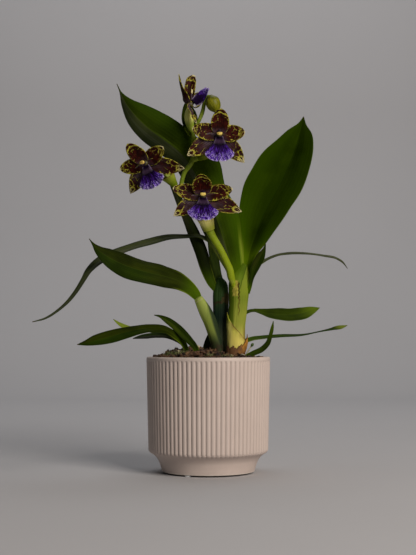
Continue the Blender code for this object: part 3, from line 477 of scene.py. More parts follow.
def scrap_paint():
    """Scraps: each its own shade, from cream over tan to nearly black."""
    paint, place, uv = new_paint("dry_scraps", IOR=1.4)
    own = (place.kind() * GOLDEN_SHARE).fraction()
    grain = uv.stretch(2.0, 9.0, 1.0).noise(1.0, 3.0)
    body = own.step(0.30, 0.55).blend((0.012, 0.007, 0.005), (0.150, 0.080, 0.035))
    body = own.step(0.84, 0.94).blend(body, (0.480, 0.400, 0.260))
    body = (grain.step(0.45, 0.7) * 0.5).blend(body, (0.060, 0.030, 0.015))
    return coat(paint, body, 0.7 + grain * 0.2, grain, 0.2)


def moss_paint():
    """Moss: yellow green at its tips and brown green at the foot."""
    paint, place, uv = new_paint("moss", IOR=1.4)
    u, v, w = uv.split()
    patch = place.noise(160.0)
    green = patch.step(0.35, 0.65).blend((0.090, 0.115, 0.020), (0.300, 0.310, 0.130))
    body = v.step(0.0, 0.75).blend((0.055, 0.045, 0.018), green)
    return coat(paint, body, 0.7 + patch * 0.2, patch, 0.1)


draw = np.random.default_rng(11)
chips = []
for number in range(CHIPS):
    reach = CHIP_RADIUS * math.sqrt((number + 0.5) / CHIPS)
    x = reach * math.cos(number * GOLDEN_ANGLE) + draw.uniform(-2, 2)
    y = reach * math.sin(number * GOLDEN_ANGLE) + draw.uniform(-2, 2)
    half = [draw.uniform(*sizes) for sizes in CHIP_HALVES]
    chip = turned(chip_grid(half, number), draw.uniform(-0.45, 0.45), draw.uniform(-0.4, 0.4),
                  draw.uniform(0, 3.14))
    chips.append(chip + np.array([x, y, bark_height(x, y) + draw.uniform(-0.4, 1.0)]))
bark = bark_paint()
add_piece("bark_bed", build_mesh([bed_grid()], wrap=True, closed=True), bark, ["bark"])
add_piece("bark_chips", build_mesh(chips, wrap=True, closed=True), bark, ["bark"])

scraps = []
for number in range(SCRAPS):
    x, y = draw.uniform(*SCRAP_X), draw.uniform(*SCRAP_Y)
    if math.hypot(x, y) < SCRAP_RADIUS:
        scrap = turned(scrap_grid(draw.uniform(*SCRAP_SIZES), draw.uniform(0.1, 0.5), 50 + number),
                       draw.uniform(-0.9, 0.9), draw.uniform(-0.9, 0.9), draw.uniform(0, 6.28))
        scraps.append(scrap + np.array([x, y, bark_height(x, y) + draw.uniform(1.0, 2.6)]))
add_piece("scraps", build_mesh(scraps), scrap_paint(), ["bark"], SCRAP_WALL)

shoots = []
for number, (x, y, spread) in enumerate(MOSS_PATCHES):
    spot = np.stack([np.full(MOSS_SHOOTS, float(x)), np.full(MOSS_SHOOTS, float(y))], axis=-1)
    spot += draw.normal(size=spot.shape) * spread * 0.42
    roots = np.column_stack([spot, bark_height(*spot.T) + 0.4])
    leans = draw.normal(size=roots.shape) * 0.45 + np.array([0, 0, 1.0])
    lengths = draw.uniform(*MOSS_HEIGHTS, MOSS_SHOOTS)
    shoots += list(strands(roots, leans, lengths, width=0.5, bend=0.5, seed=number))
add_piece("moss", build_mesh(shoots), moss_paint(), ["bark"])


# Each growth is a bundle of leaf bases wrapped round a young bulb: the main one pale yellow green, the
# middle one dark and bluish, the left one ending in the joint where its old leaf will drop.
# Stations of x, y, z, half width and half depth, as the solids have them.
MAIN_GROWTH = (
    (29.5, -4.0, 119.6, 6.4, 6.0), (29.8, -4.0, 130.6, 7.4, 6.6), (31.0, -4.0, 140.6, 9.0, 7.6),
    (31.0, -4.0, 149.6, 8.9, 7.4), (30.8, -4.0, 160.6, 9.4, 7.2), (31.8, -4.0, 172.6, 9.9, 7.2),
    (32.6, -4.0, 182.6, 10.2, 7.6), (33.2, -4.0, 194.6, 11.0, 7.8), (34.0, -3.6, 205.6, 11.5, 6.4),
    (35.4, -2.9, 213.6, 10.0, 4.2), (37.4, -2.2, 220.6, 6.4, 2.5), (39.0, -1.8, 226.6, 2.8, 1.3),
)
MIDDLE_GROWTH = (
    (13.6, 10.5, 119.6, 6.0, 5.0), (13.6, 10.5, 138.6, 7.0, 5.4), (13.6, 10.5, 158.6, 7.8, 5.6),
    (13.8, 10.5, 178.6, 8.4, 5.8), (13.8, 10.8, 196.6, 8.3, 5.6), (13.8, 11.0, 205.6, 6.8, 4.6),
    (12.6, 11.2, 211.6, 3.0, 2.4),
)
LEFT_GROWTH = (
    (10.0, -6.5, 119.6, 5.2, 4.6), (9.6, -6.6, 135.6, 5.8, 5.0), (5.6, -8.0, 151.6, 6.3, 5.0),
    (1.8, -10.0, 163.6, 6.8, 4.8), (-3.6, -12.0, 175.1, 6.6, 4.3), (-10.6, -14.0, 188.2, 4.6, 3.6),
)
GROWTH_ROWS = 90
GROWTH_SIDES = 96
WRAP_STEP = 0.5          # how far the free edge of one leaf base stands over the next
WRAP_EDGE = 0.02         # how sharp that edge is, in turns
FIBRES = 24              # ribs round a growth
FIBRE_RISE = 0.05


def unit(rows):
    """The same directions at length one."""
    return rows / np.linalg.norm(rows, axis=-1, keepdims=True)


def smooth_rows(stations, count):
    """Even steps along one smooth curve through the stations: a cubic Hermite by chord length."""
    rows = np.array(stations, float)
    at = np.concatenate([[0.0], np.cumsum(np.linalg.norm(np.diff(rows[:, :3], axis=0), axis=1))])
    slopes = np.gradient(rows, at, axis=0)
    want = np.linspace(0.0, at[-1], count)
    k = np.clip(np.searchsorted(at, want, side="right") - 1, 0, len(at) - 2)
    h = (at[k + 1] - at[k])[:, None]
    t = (want - at[k])[:, None] / h
    return ((2 * t**3 - 3 * t**2 + 1) * rows[k] + (t**3 - 2 * t**2 + t) * slopes[k] * h
            + (3 * t**2 - 2 * t**3) * rows[k + 1] + (t**3 - t**2) * slopes[k + 1] * h)


def frame_along(centre, roll=0.0):
    """Tangent, sideways and facing directions along a path; at no roll it faces the front."""
    tangent = unit(np.gradient(centre, axis=0))
    side = unit(np.cross(tangent, (0.0, -1.0, 0.0)))
    face = np.cross(side, tangent)
    turn = np.radians(np.broadcast_to(roll, len(centre)))[:, None]
    return tangent, np.cos(turn) * side + np.sin(turn) * face, np.cos(turn) * face - np.sin(turn) * side


def tube_grid(stations, count, sides, swell=0.0):
    """A closed stem: ellipses of the stations' half width and depth round their smooth path.

    swell, a number or an array of rows by sides, is added to both radii. A smaller ring and then a
    point close each end."""
    rows = smooth_rows(stations, count)
    centre = rows[:, :3]
    tangent, side, face = frame_along(centre)
    turn = ring(sides)
    wide = ((rows[:, 3:4] + swell) * np.cos(turn))[..., None]
    deep = ((rows[:, -1:] + swell) * np.sin(turn))[..., None]
    round_it = wide * side[:, None] + deep * face[:, None]
    lift = 0.35 * rows[:, -1][:, None, None] * tangent[:, None]
    first, last = centre[:1, None], centre[-1:, None]
    point = 0 * round_it[:1]
    return np.concatenate([
        first + point - lift[:1] * 1.5, first + 0.75 * round_it[:1] - lift[:1],
        centre[:, None] + round_it,
        last + 0.75 * round_it[-1:] + lift[-1:], last + point + lift[-1:] * 1.5,
    ])


def tube_places(count, sides):
    """The share along a tube of each of its rows, and the angle round it of each of its sides."""
    return np.linspace(0, 1, count)[:, None], ring(sides)[None, :]


def wrapped(edges):
    """Leaf bases that overlap: going round, the radius falls slowly and jumps up at each free edge.

    Each edge is its place round the growth at the foot and at the top, in turns; 0.75 is the front."""
    up = np.linspace(0, 1, GROWTH_ROWS)[:, None]
    turn = (np.arange(GROWTH_SIDES) / GROWTH_SIDES)[None, :]
    swell = 0.0
    for foot, top in edges:
        past = (turn - foot - (top - foot) * up) % 1.0
        swell = swell + WRAP_STEP * (ramp(past, 0.0, WRAP_EDGE) * (1 - past) - 0.4)
    return swell + FIBRE_RISE * np.cos(2 * math.pi * turn * FIBRES)


def growth_paint(name, foot, middle, top, shade, low, high, sheen=0.12):
    """Leaf bases: a colour from foot to top between two heights, fine fibres, and a darker shade in patches.

    Gives what its caller paints over: the paint, its places and UV, its colour, fibres and patches."""
    paint, place, uv = new_paint(name, IOR=1.42, Specular_IOR_Level=sheen)
    x, y, z = place.millimetres()
    body = z.step(low, (low + high) / 2).blend(foot, middle)
    body = z.step((low + high) / 2, high).blend(body, top)
    fibres = uv.stretch(70.0, 2.5, 1.0).noise(1.0, 3.0)
    patch = place.stretch(1.0, 1.0, 0.35).noise(110.0, 3.0)
    body = (patch.step(0.50, 0.72) * 0.45).blend(body, shade)
    body = (fibres.step(0.55, 0.75) * 0.25).blend(body, shade)
    return paint, place, uv, body, fibres, patch


def main_paint():
    """The main growth's skin: its lines run up it, and an old crack at its front is pale and brown edged.

    The tops of the crack's patch and of the seams are set by heights, and ragged shakes their margins."""
    paint, place, uv, body, fibres, patch = growth_paint(
        "main_growth_skin", (0.60, 0.51, 0.120), (0.25, 0.28, 0.036), (0.15, 0.20, 0.018),
        (0.09, 0.14, 0.006), 134, 196, 0.04)
    x, y, z = place.millimetres()
    front = y.fade(-9.5, -7.5)
    cracks = place.stretch(1.0, 1.0, 0.6).noise(520.0, 4.0)
    ragged = (cracks - 0.5) * 6
    winding = place.noise(190.0, 2.0) - 0.5
    # The leaf base at the left is darker, and the fold that it and the next one meet in above has painted
    # shade.
    left = (x - z * 0.03).fade(21.5, 23.2) * z.step(150, 165)
    body = (left * 0.75).blend(body, (0.040, 0.085, 0.001))
    green = z.step(213, 221).blend((0.085, 0.150, 0.004), (0.052, 0.100, 0.001))
    body = (z.step(200, 216) * 0.85).blend(body, green)
    slanting = x - z * 0.30
    hem = (slanting + ragged * 0.2).step(-25.8, -24.4) * z.step(186, 196)
    body = (hem * 0.75).blend(body, (0.200, 0.250, 0.020))
    # Painted shade in the fold between the leaf bases.
    fold = (slanting + ragged * 0.3).near(-25.6, 0.2, 0.9) * z.step(188, 198)
    body = (fold * 0.6).blend(body, (0.030, 0.060, 0.002))
    # The crack's pale patch, its brown right edge and the brown seam that runs down from it.
    from_middle = (abs(x + ragged - 29.5) * 2.9).most(abs(z + ragged - 199.5))
    cork = cracks.step(0.4, 0.6).blend((0.38, 0.33, 0.055), (0.25, 0.23, 0.035))
    body = (from_middle.fade(7.8, 9.0) * front).blend(body, cork)
    edge = (x + winding * 10 + ragged * 0.4).near(32.8, 0.3, 1.2)
    edge = edge * z.step(187, 190) * z.fade(204, 208) * front
    body = (edge * 0.9).blend(body, (0.050, 0.020, 0.006))
    seam = (x + winding * 5).near(33.6, 0.2, 1.0) * z.step(168, 174) * z.fade(190, 193) * front
    body = (seam * 0.75).blend(body, (0.085, 0.038, 0.010))
    tan = x.step(36.0, 39.5) * z.fade(150, 160)
    body = (tan * 0.7).blend(body, (0.200, 0.140, 0.026))
    return coat(paint, body, 0.42 + patch * 0.2, fibres + edge * -1.5, 0.25)


def middle_paint():
    """The middle growth's skin, dark and bluish, with brown scars."""
    paint, place, uv, body, fibres, patch = growth_paint(
        "middle_growth_skin", (0.080, 0.105, 0.055), (0.007, 0.018, 0.011), (0.026, 0.062, 0.009),
        (0.005, 0.009, 0.004), 138, 200)
    x, y, z = place.millimetres()
    ragged = place.noise(260.0, 3.0)
    scar = (z - (x - 13.8) * 0.4 + (ragged - 0.5) * 16).near(186, 1.5, 3.5)
    scar = scar.most(x.step(16.5, 18.5) * z.near(189, 4, 8) * ragged.step(0.40, 0.50))
    brown = x.step(13, 16).blend((0.028, 0.014, 0.007), (0.085, 0.060, 0.018))
    body = (scar * 0.8).blend(body, brown)
    return coat(paint, body, 0.40 + patch * 0.25, fibres + scar * -0.5, 0.25)


def left_paint():
    """The left growth's skin: yellow green above, painted shade in deep blue green at its right and low down,
    dry and brown at the foot.
    """
    paint, place, uv, body, fibres, patch = growth_paint(
        "left_growth_skin", (0.10, 0.13, 0.030), (0.20, 0.25, 0.045), (0.28, 0.34, 0.070),
        (0.11, 0.16, 0.025), 134, 186)
    x, y, z = place.millimetres()
    u, v, w = uv.split()
    # Painted shade: deep blue green on the side turned from the light and low down.
    blue = (x + (z - 157) * 0.297).step(4.6, 7.8).most(z.fade(137, 156) * 0.85)
    body = (blue * 0.92).blend(body, (0.006, 0.018, 0.010))
    dry = z.fade(133, 146) * place.noise(260.0, 3.0).step(0.35, 0.6)
    body = (dry * 0.85).blend(body, (0.035, 0.016, 0.010))
    joint = (v + (patch - 0.5) * 0.03).near(0.955, 0.004, 0.014)
    body = (joint * 0.7).blend(body, (0.330, 0.340, 0.140))
    return coat(paint, body, 0.42 + patch * 0.2, fibres, 0.25)


GROWTHS = (
    ("main", MAIN_GROWTH, ((0.78, 0.70), (0.30, 0.24), (0.62, 0.60)), main_paint(), "sheath"),
    ("middle", MIDDLE_GROWTH, ((0.86, 0.70), (0.40, 0.30)), middle_paint(), "blue_sheath"),
    ("left", LEFT_GROWTH, ((0.90, 0.92), (0.45, 0.40)), left_paint(), "sheath"),
)
for name, stations, edges, paint, slot in GROWTHS:
    bases = tube_grid(stations, GROWTH_ROWS, GROWTH_SIDES, wrapped(edges))
    growth_mesh = build_mesh([bases], wrap=True, closed=True)
    add_piece(f"{name}_growth_bases", growth_mesh, paint, [f"{name}_growth"])


# Two sheaths wrap the main growth's foot: the outer one still pale yellow green, open down the front in
# a long slant, and under it an old one that is dry, brown and torn.
SHEATH_WALL = 0.7
SHEATH_FOOT = 121.6
OUTER_LOW = 144.6        # the outer sheath's free edge at its right, and its rise to the point at its left
OUTER_RISE = 29.0
OUTER_SPAN = 140.0       # degrees from the point to where the edge is level
DRY_LOW = 135.6          # the dry sheath's torn edge at its front, and its rise at its right
DRY_RISE = 13.0
DRY_SPAN = 75.0


def sheath_grid(gap, edge, belly, seed):
    """A cuff round the main growth, from under the bark up to its edge, standing gap off the growth.

    edge gives its height from the angle round it in degrees; belly is how far it stands out further
    halfway up, by a sine."""
    turn = ring(160)
    degrees = (np.degrees(turn) + 180) % 360 - 180
    t = np.linspace(0, 1, 26)[:, None]
    z = SHEATH_FOOT + (edge(degrees) - SHEATH_FOOT) * t
    stations = np.array(MAIN_GROWTH)
    x, y, wide, deep = (np.interp(z, stations[:, 2], stations[:, k]) for k in (0, 1, 3, 4))
    spot = np.stack([20 * np.cos(turn) + 0 * t, 20 * np.sin(turn) + 0 * t, z], axis=-1)
    reach = gap + belly * np.sin(math.pi * t) + 0.22 * lumps(spot, 3.5, seed) * t
    return np.stack([x + (wide + reach) * np.cos(turn), y + (deep + reach) * np.sin(turn), z], axis=-1)


def outer_edge(degrees):
    """A point at the left that runs down across the front: the height falls evenly with the angle."""
    from_point = 180 - np.abs(degrees)
    return OUTER_LOW + OUTER_RISE * np.maximum(0.0, 1 - from_point / OUTER_SPAN)


def dry_edge(degrees):
    """Torn low at the front and higher at the right, ragged by three waves."""
    rise = DRY_RISE * np.maximum(0.0, 1 - np.abs(degrees) / DRY_SPAN)
    turn = np.radians(degrees)
    return DRY_LOW + rise + 1.3 * np.sin(9 * turn) + 0.8 * np.sin(23 * turn + 1.0) + 0.4 * np.sin(41 * turn)


def outer_sheath_paint():
    """Pale yellow green, fibrous, browned at its right, with painted light at its left and a thin brown line
    along its free edge.
    """
    paint, place, uv = new_paint("outer_sheath_skin", IOR=1.42, Specular_IOR_Level=0.08)
    u, v, w = uv.split()
    x, y, z = place.millimetres()
    fibres = uv.stretch(60.0, 1.5, 1.0).noise(1.0, 3.0)
    cloud = place.noise(95.0, 3.0)
    body = z.step(136, 172).blend((0.70, 0.59, 0.135), (0.33, 0.38, 0.030))
    body = (x.step(36, 44) * 0.5).blend(body, (0.20, 0.24, 0.02))
    body = (fibres.step(0.5, 0.8) * 0.25).blend(body, (0.20, 0.23, 0.03))
    body = (cloud.step(0.55, 0.75) * 0.35).blend(body, (0.55, 0.50, 0.20))
    brown = (x + z * 0.9).step(162, 172) * cloud.step(0.35, 0.60)
    body = (brown * 0.6).blend(body, (0.130, 0.060, 0.012))
    # Painted light: the sheath's left is made paler, as if lit.
    light = x.fade(23.5, 27.5) * z.fade(158, 166)
    body = (light * 0.6).blend(body, (0.900, 0.800, 0.220))
    rim = v.step(0.955, 0.985) * place.noise(300.0).step(0.25, 0.45) * x.step(23.5, 27.0)
    body = (rim * 0.9).blend(body, (0.090, 0.032, 0.008))
    return coat(paint, body, 0.45 + cloud * 0.15, fibres, 0.2)


def dry_sheath_paint():
    """Papery rust brown, darker along its veins and torn rim, brighter toward the right in painted light."""
    paint, place, uv = new_paint("dry_sheath_skin", IOR=1.4, Specular_IOR_Level=0.2)
    u, v, w = uv.split()
    x, y, z = place.millimetres()
    fibres = uv.stretch(90.0, 2.0, 1.0).noise(1.0, 4.0)
    cloud = place.noise(170.0, 4.0)
    # Painted light: the rust brown brightens toward the right, where the light comes from.
    worn = (cloud * 0.8 + (x - 30) * 0.022).step(0.42, 0.72)
    body = worn.blend((0.150, 0.072, 0.030), (0.420, 0.190, 0.026))
    body = (fibres.step(0.52, 0.7) * 0.6).blend(body, (0.05, 0.02, 0.008))
    body = (v.step(0.90, 0.99) * 0.8).blend(body, (0.035, 0.012, 0.006))
    body = (v.fade(0.1, 0.5) * 0.5).blend(body, (0.045, 0.022, 0.012))
    return coat(paint, body, 0.55 + cloud * 0.3, fibres + cloud, 0.35)


SHEATHS = (
    ("outer_sheath", sheath_grid(1.0, outer_edge, 0.2, 21), outer_sheath_paint(), "sheath"),
    ("dry_sheath", sheath_grid(2.4, dry_edge, 0.8, 22), dry_sheath_paint(), "dry_sheath"),
)
for name, grid, paint, slot in SHEATHS:
    add_piece(name + "_skin", build_mesh([grid], wrap=True), paint, [name], SHEATH_WALL)


# The leaves are thin, glossy and pleated along their veins, folded at the mid-rib. Those of the three
# growths rise from the leaf bases; the low ones come from older growths under the bark.
LEAF_WALL = 0.6
LEAF_MESH = (110, 42)    # squares along a blade and across it
VEINS = 7                # pairs of raised veins on a broad leaf
# Each leaf's slot, fold in degrees, and stations from base to tip: the mid-rib's x, y, z, the half widths
# left and right of it, and the roll in degrees. They are the solids' own, but for the two largest leaves,
# which are wider at the foot so that they overlap, and for the small and the arching one beside them.
LEAVES = {
    "leaf_back_left": ("dark_leaf", -24, (
        (31.5, -2.5, 195.5, 4.6, 6, 0), (28.5, -5, 210.5, 6.2, 9.5, 2), (26.5, -6, 219.5, 7.8, 13.5, 5),
        (22.8, -7, 233.5, 12.5, 17, 7), (19, -8, 246.5, 17, 19.5, 8),
        (10, -11, 274.5, 23.5, 25.5, 10), (0, -14, 301, 22, 21.5, 14), (-12, -17, 321.5, 20, 29, 18),
        (-28, -21, 344.5, 19.5, 25, 20), (-47, -25, 359.5, 19, 25, 20), (-64, -29, 371.5, 18, 22.5, 20),
        (-78, -33, 384.5, 14.5, 16.5, 20), (-89, -37, 398.5, 6.4, 7, 18), (-94, -39, 408.5, 1.3, 1.3, 10),
        (-98, -41, 417.5, 0.3, 0.3, 0))),
    "leaf_large_right": ("leaf", 24, (
        (41.5, 0.5, 195.5, 3.4, 3.2, 0), (42.5, 3.2, 217.5, 5.4, 5, 4), (45, 6, 235.5, 7.5, 8, 6),
        (51, 8, 255.5, 17.5, 17, 9), (59, 12, 276.5, 28.5, 25, 12), (70, 17, 297.5, 36, 28.5, 15),
        (81, 22, 317.5, 36.5, 30.5, 16), (91, 27, 339.5, 34, 28.5, 16), (99, 32, 360, 25, 24, 16),
        (104, 36, 377.5, 14.5, 16, 14), (107, 39, 389.5, 4.5, 5, 10), (109, 41, 398.5, 0.3, 0.3, 0))),
    "leaf_small_right": ("dark_leaf", 20, (
        (43.2, -7, 194.5, 2.3, 2.2, 0), (45.5, -7, 200, 3.4, 1.6, 0), (48.2, -7.5, 211, 4.3, 1.8, 0),
        (52.5, -8, 224, 5.8, 4.4, 4), (57.5, -8, 235, 4.8, 4.8, 4), (61, -8, 242.5, 1.9, 1.9, 0),
        (62.6, -8, 248.5, 0.3, 0.3, 0))),
    "leaf_arching_right": ("dark_leaf", 10, (
        (38.5, 2.5, 195.5, 1.8, 1.8, 0), (41.5, 6, 207.5, 2.6, 2.6, 30), (48.5, 12, 219.5, 3.6, 3.6, 56),
        (63, 22, 231.5, 4.2, 4.2, 68), (75, 33, 237.5, 4.6, 4.6, 70), (91, 50, 241.5, 4.8, 4.8, 70),
        (112, 72, 243.5, 4.8, 4.8, 70), (136, 95, 242.5, 4.4, 4.4, 70), (154, 113, 240.5, 3.6, 3.6, 64),
        (162.5, 121, 236.5, 2.2, 2.2, 58), (168.5, 127, 230, 0.3, 0.3, 70))),
    "leaf_long_left": ("dark_leaf", 10, (
        (31.5, 3, 197.5, 2.4, 2.4, 0), (30.5, 5, 213.5, 2.8, 2.8, 0), (23, 8, 231.5, 3.2, 3.0, -20),
        (6.5, 8.5, 249.5, 4.6, 3.6, -50), (-9, 6, 257.5, 6.2, 4.0, -60), (-26, 0, 257, 7.6, 4.8, -60),
        (-44, -9, 255.5, 7.8, 5, -55), (-64, -19, 249.5, 8, 5.4, -50), (-84, -30, 242.5, 8.4, 5.8, -50),
        (-103, -42, 234, 8.6, 6, -50), (-116, -52, 225.5, 7.6, 5.5, -45), (-124, -60, 216.5, 6, 4.6, -40),
        (-130, -70, 204.5, 4.2, 3.2, -40), (-136, -79, 193, 3.4, 2.6, -40),
        (-142, -88, 183.5, 3.2, 2.4, -45), (-150, -102, 174, 2.8, 2, -50), (-161, -119, 165, 1.8, 1.3, -50),
        (-171.5, -135, 161, 0.3, 0.3, -50))),
    "leaf_middle_left": ("leaf", -18, (
        (-9, -13.5, 185, 2.6, 2.6, -20), (-11.5, -14, 189.5, 4.4, 5.6, -20), (-18, -18, 197.5, 6.7, 9, -25),
        (-30, -26, 206, 9.7, 13, -25), (-47, -38, 211, 11.6, 15.5, -25),
        (-68.5, -53, 215.5, 12.5, 16.5, -25), (-88.5, -67, 221.5, 12, 15.5, -25),
        (-103, -77, 228.5, 9, 11.7, -25), (-113, -83, 235.5, 4.1, 5.2, -20),
        (-118, -87, 241.5, 1.2, 1.5, -15), (-121.5, -90, 246.5, 0.3, 0.3, -10))),
    "leaf_strap_dark": ("dark_leaf", -20, (
        (10, 8, 196.5, 2.6, 2.6, 0), (4.5, 7.5, 205.5, 5, 4.4, 0), (-1.4, 8, 219.5, 6.5, 6.2, 0),
        (-8.4, 8.5, 242.5, 7.4, 7.4, 0), (-16.2, 8, 261.5, 6.8, 6.8, 0), (-24.7, 6, 280.5, 5, 5, 0),
        (-31.8, 3, 296.5, 4.4, 4.4, 0), (-38.4, 0.5, 312, 3.3, 3.3, 0), (-44.4, -1, 324, 1.6, 1.6, 0),
        (-48.8, -2, 332.5, 0.3, 0.3, 0))),
    "leaf_strap_green": ("leaf", 8, (
        (15.5, 13.4, 197.5, 2.6, 2.4, 0), (12.5, 14.4, 207.5, 4.2, 4.2, 0), (9.6, 15, 217.5, 5, 5, 0),
        (7.2, 15, 230.5, 5.3, 5.3, 0), (5, 15, 245, 5.2, 5.2, 0), (3, 14, 262.5, 4.2, 4.2, 0),
        (1.4, 13, 277.5, 2.4, 2.4, 0), (0.6, 12, 288.5, 0.3, 0.3, 0))),
    "leaf_low_right": ("leaf", 12, (
        (30.5, 15, 120.5, 2.2, 2.2, 0), (32.5, 15.5, 143.5, 2.3, 2.3, 0), (36.5, 16, 163.5, 2.2, 2.2, 0),
        (42, 18, 174, 2, 2.2, 20), (51, 21, 176.5, 2.1, 2.8, 40), (57.5, 24, 175.5, 3.3, 4.7, 40),
        (67, 29, 173.5, 5.8, 8.4, 40), (80, 36, 172.5, 7.7, 11, 40), (95, 45, 172.5, 7.7, 11.2, 40),
        (108, 52, 174.5, 7.6, 10.8, 40), (118.5, 57, 178, 4.7, 6.7, 40), (128, 61, 180.5, 0.3, 0.3, 40))),
    "leaf_lowest_right": ("dark_leaf", 10, (
        (27.5, 24, 120.5, 2.2, 2.2, 0), (30, 23, 132.5, 2.3, 2.3, 0), (38, 24, 140.5, 2.7, 3.3, 40),
        (47.5, 27, 144.5, 3.3, 4.6, 55), (60.5, 34, 146.5, 3.2, 4.8, 60), (79, 48, 148, 3.2, 4.8, 62),
        (110.5, 82, 149.5, 2.6, 3.6, 72), (130.5, 107, 153, 2, 3, 76), (148, 128, 156.5, 2.2, 3.4, 60),
        (159, 139, 159, 2.8, 4, 45), (170.5, 149, 161.5, 0.3, 0.3, 45))),
    "leaf_short_right": ("leaf", 14, (
        (39.5, -16, 118.5, 2, 2.2, 10), (42, -16.5, 125.5, 2.6, 3, 25), (48, -17, 129, 2.8, 3.6, 30),
        (57.5, -17, 133.5, 2.9, 3.9, 30), (64, -17, 140, 2.6, 3.1, 20), (67, -16, 148, 2.1, 2.2, 10),
        (69, -15, 156, 1.8, 1.8, 0), (70.5, -13, 164, 0.3, 0.3, 0))),
    "leaf_forward_left": ("leaf", 10, (
        (-21, -16, 124.5, 2.4, 2.2, -20), (-27, -24, 140.5, 4, 3.3, -30), (-35.5, -32, 148.5, 4.6, 3.7, -30),
        (-46.5, -45, 155, 5.6, 4.1, -40), (-60.5, -61, 155.5, 8, 5.4, -48), (-74, -79, 153.5, 8.9, 6.3, -45),
        (-87, -97, 150, 9.1, 6.8, -40), (-99.5, -114, 146, 9.3, 7.2, -35), (-110, -128, 143, 7.2, 5.9, -30),
        (-118.5, -140, 140.5, 3.4, 2.9, -25), (-126, -149.5, 139, 0.3, 0.3, -25))),
    "leaf_under_left": ("dark_leaf", 8, (
        (-20, -4, 123.5, 2.4, 2.2, -20), (-26, -9, 138, 3, 2.6, -30), (-35, -14, 144, 3.1, 2.4, -40),
        (-45.5, -20, 148, 4.3, 3, -50), (-57, -27, 148.5, 6, 4, -55), (-68.5, -35, 147, 6.4, 4.2, -60),
        (-79.5, -43, 145, 0.5, 0.5, -60))),
    "leaf_short_left": ("leaf", 16, (
        (-10.5, -27, 120.5, 2.3, 2.3, 0), (-14, -28, 135.5, 3.3, 3.3, 0),
        (-20.5, -29.5, 143.5, 4.3, 3.9, -10), (-27.5, -31, 151, 4.9, 4.4, -10),
        (-35.5, -34, 158.5, 4.8, 4.2, -15), (-44.5, -37, 165, 3.9, 3.2, -20),
        (-51, -39, 168.5, 1.8, 1.5, -20), (-57.5, -41, 170, 0.3, 0.3, -20))),
    "leaf_hidden_left": ("young_leaf", 10, (
        (-18, 6, 124.5, 2.3, 2.2, -30), (-31, 1, 142.5, 2.9, 2.3, -30), (-49.5, -6, 151, 3.8, 2.7, -45),
        (-69.5, -16, 155, 5, 3.2, -55), (-86, -26, 156.5, 4.4, 3, -50), (-94.5, -31, 160.5, 2.2, 1.8, -30),
        (-101, -34, 165.5, 0.3, 0.3, -20))),
    "leaf_stub_behind": ("dark_leaf", 14, (
        (-2.5, 6, 120.5, 4, 4, 0), (-1, 6, 134.5, 5.1, 5.1, 0), (2, 5.5, 144.5, 4.8, 4.8, 0),
        (4.5, 5, 153.5, 2.7, 2.7, 0), (6, 4.5, 160, 0.3, 0.3, 0))),
}


def blade_grid(stations, fold, lengthwise, across, relief=None):
    """Points of a blade round its mid-rib's smooth path.

    At s across, a point lies its half width times s to the side, lifted by that reach times the sine
    of the fold, which a small keel rounds off. relief, a function of s and v, lifts it further."""
    rows = smooth_rows(stations, lengthwise + 1)
    centre = rows[:, :3]
    tangent, side, face = frame_along(centre, rows[:, 5])
    s = np.linspace(-1.0, 1.0, across + 1)[None, :]
    half = np.maximum(np.where(s < 0, rows[:, 3:4], rows[:, 4:5]), 0.06)
    reach = s * half
    lift = (np.sqrt(reach**2 + 0.2) - math.sqrt(0.2)) * math.sin(math.radians(fold))
    if relief:
        lift = lift + relief(s, np.linspace(0, 1, lengthwise + 1)[:, None], half)
    return (centre[:, None] + (reach * math.cos(math.radians(fold)))[..., None] * side[:, None]
            + lift[..., None] * face[:, None])


def leaf_relief(waves, ripple, pleat):
    """Pleats along the veins, a cosine across, and waves along the margin that grow as s cubed.

    All of it fades out toward the base and the tip, and where the leaf is narrow."""
    def relief(s, v, half):
        body = np.sin(math.pi * np.clip(v, 0, 1)) ** 0.7
        broad = np.minimum(half / 12.0, 1.0)
        margin = ripple * np.abs(s) ** 3 * np.sin(2 * math.pi * waves * v + 1.4 * s)
        crown = 0.7 * np.sin(math.pi * np.abs(s))
        return body * broad * (pleat * np.cos(VEINS * 2 * math.pi * np.abs(s)) + margin + crown)
    return relief


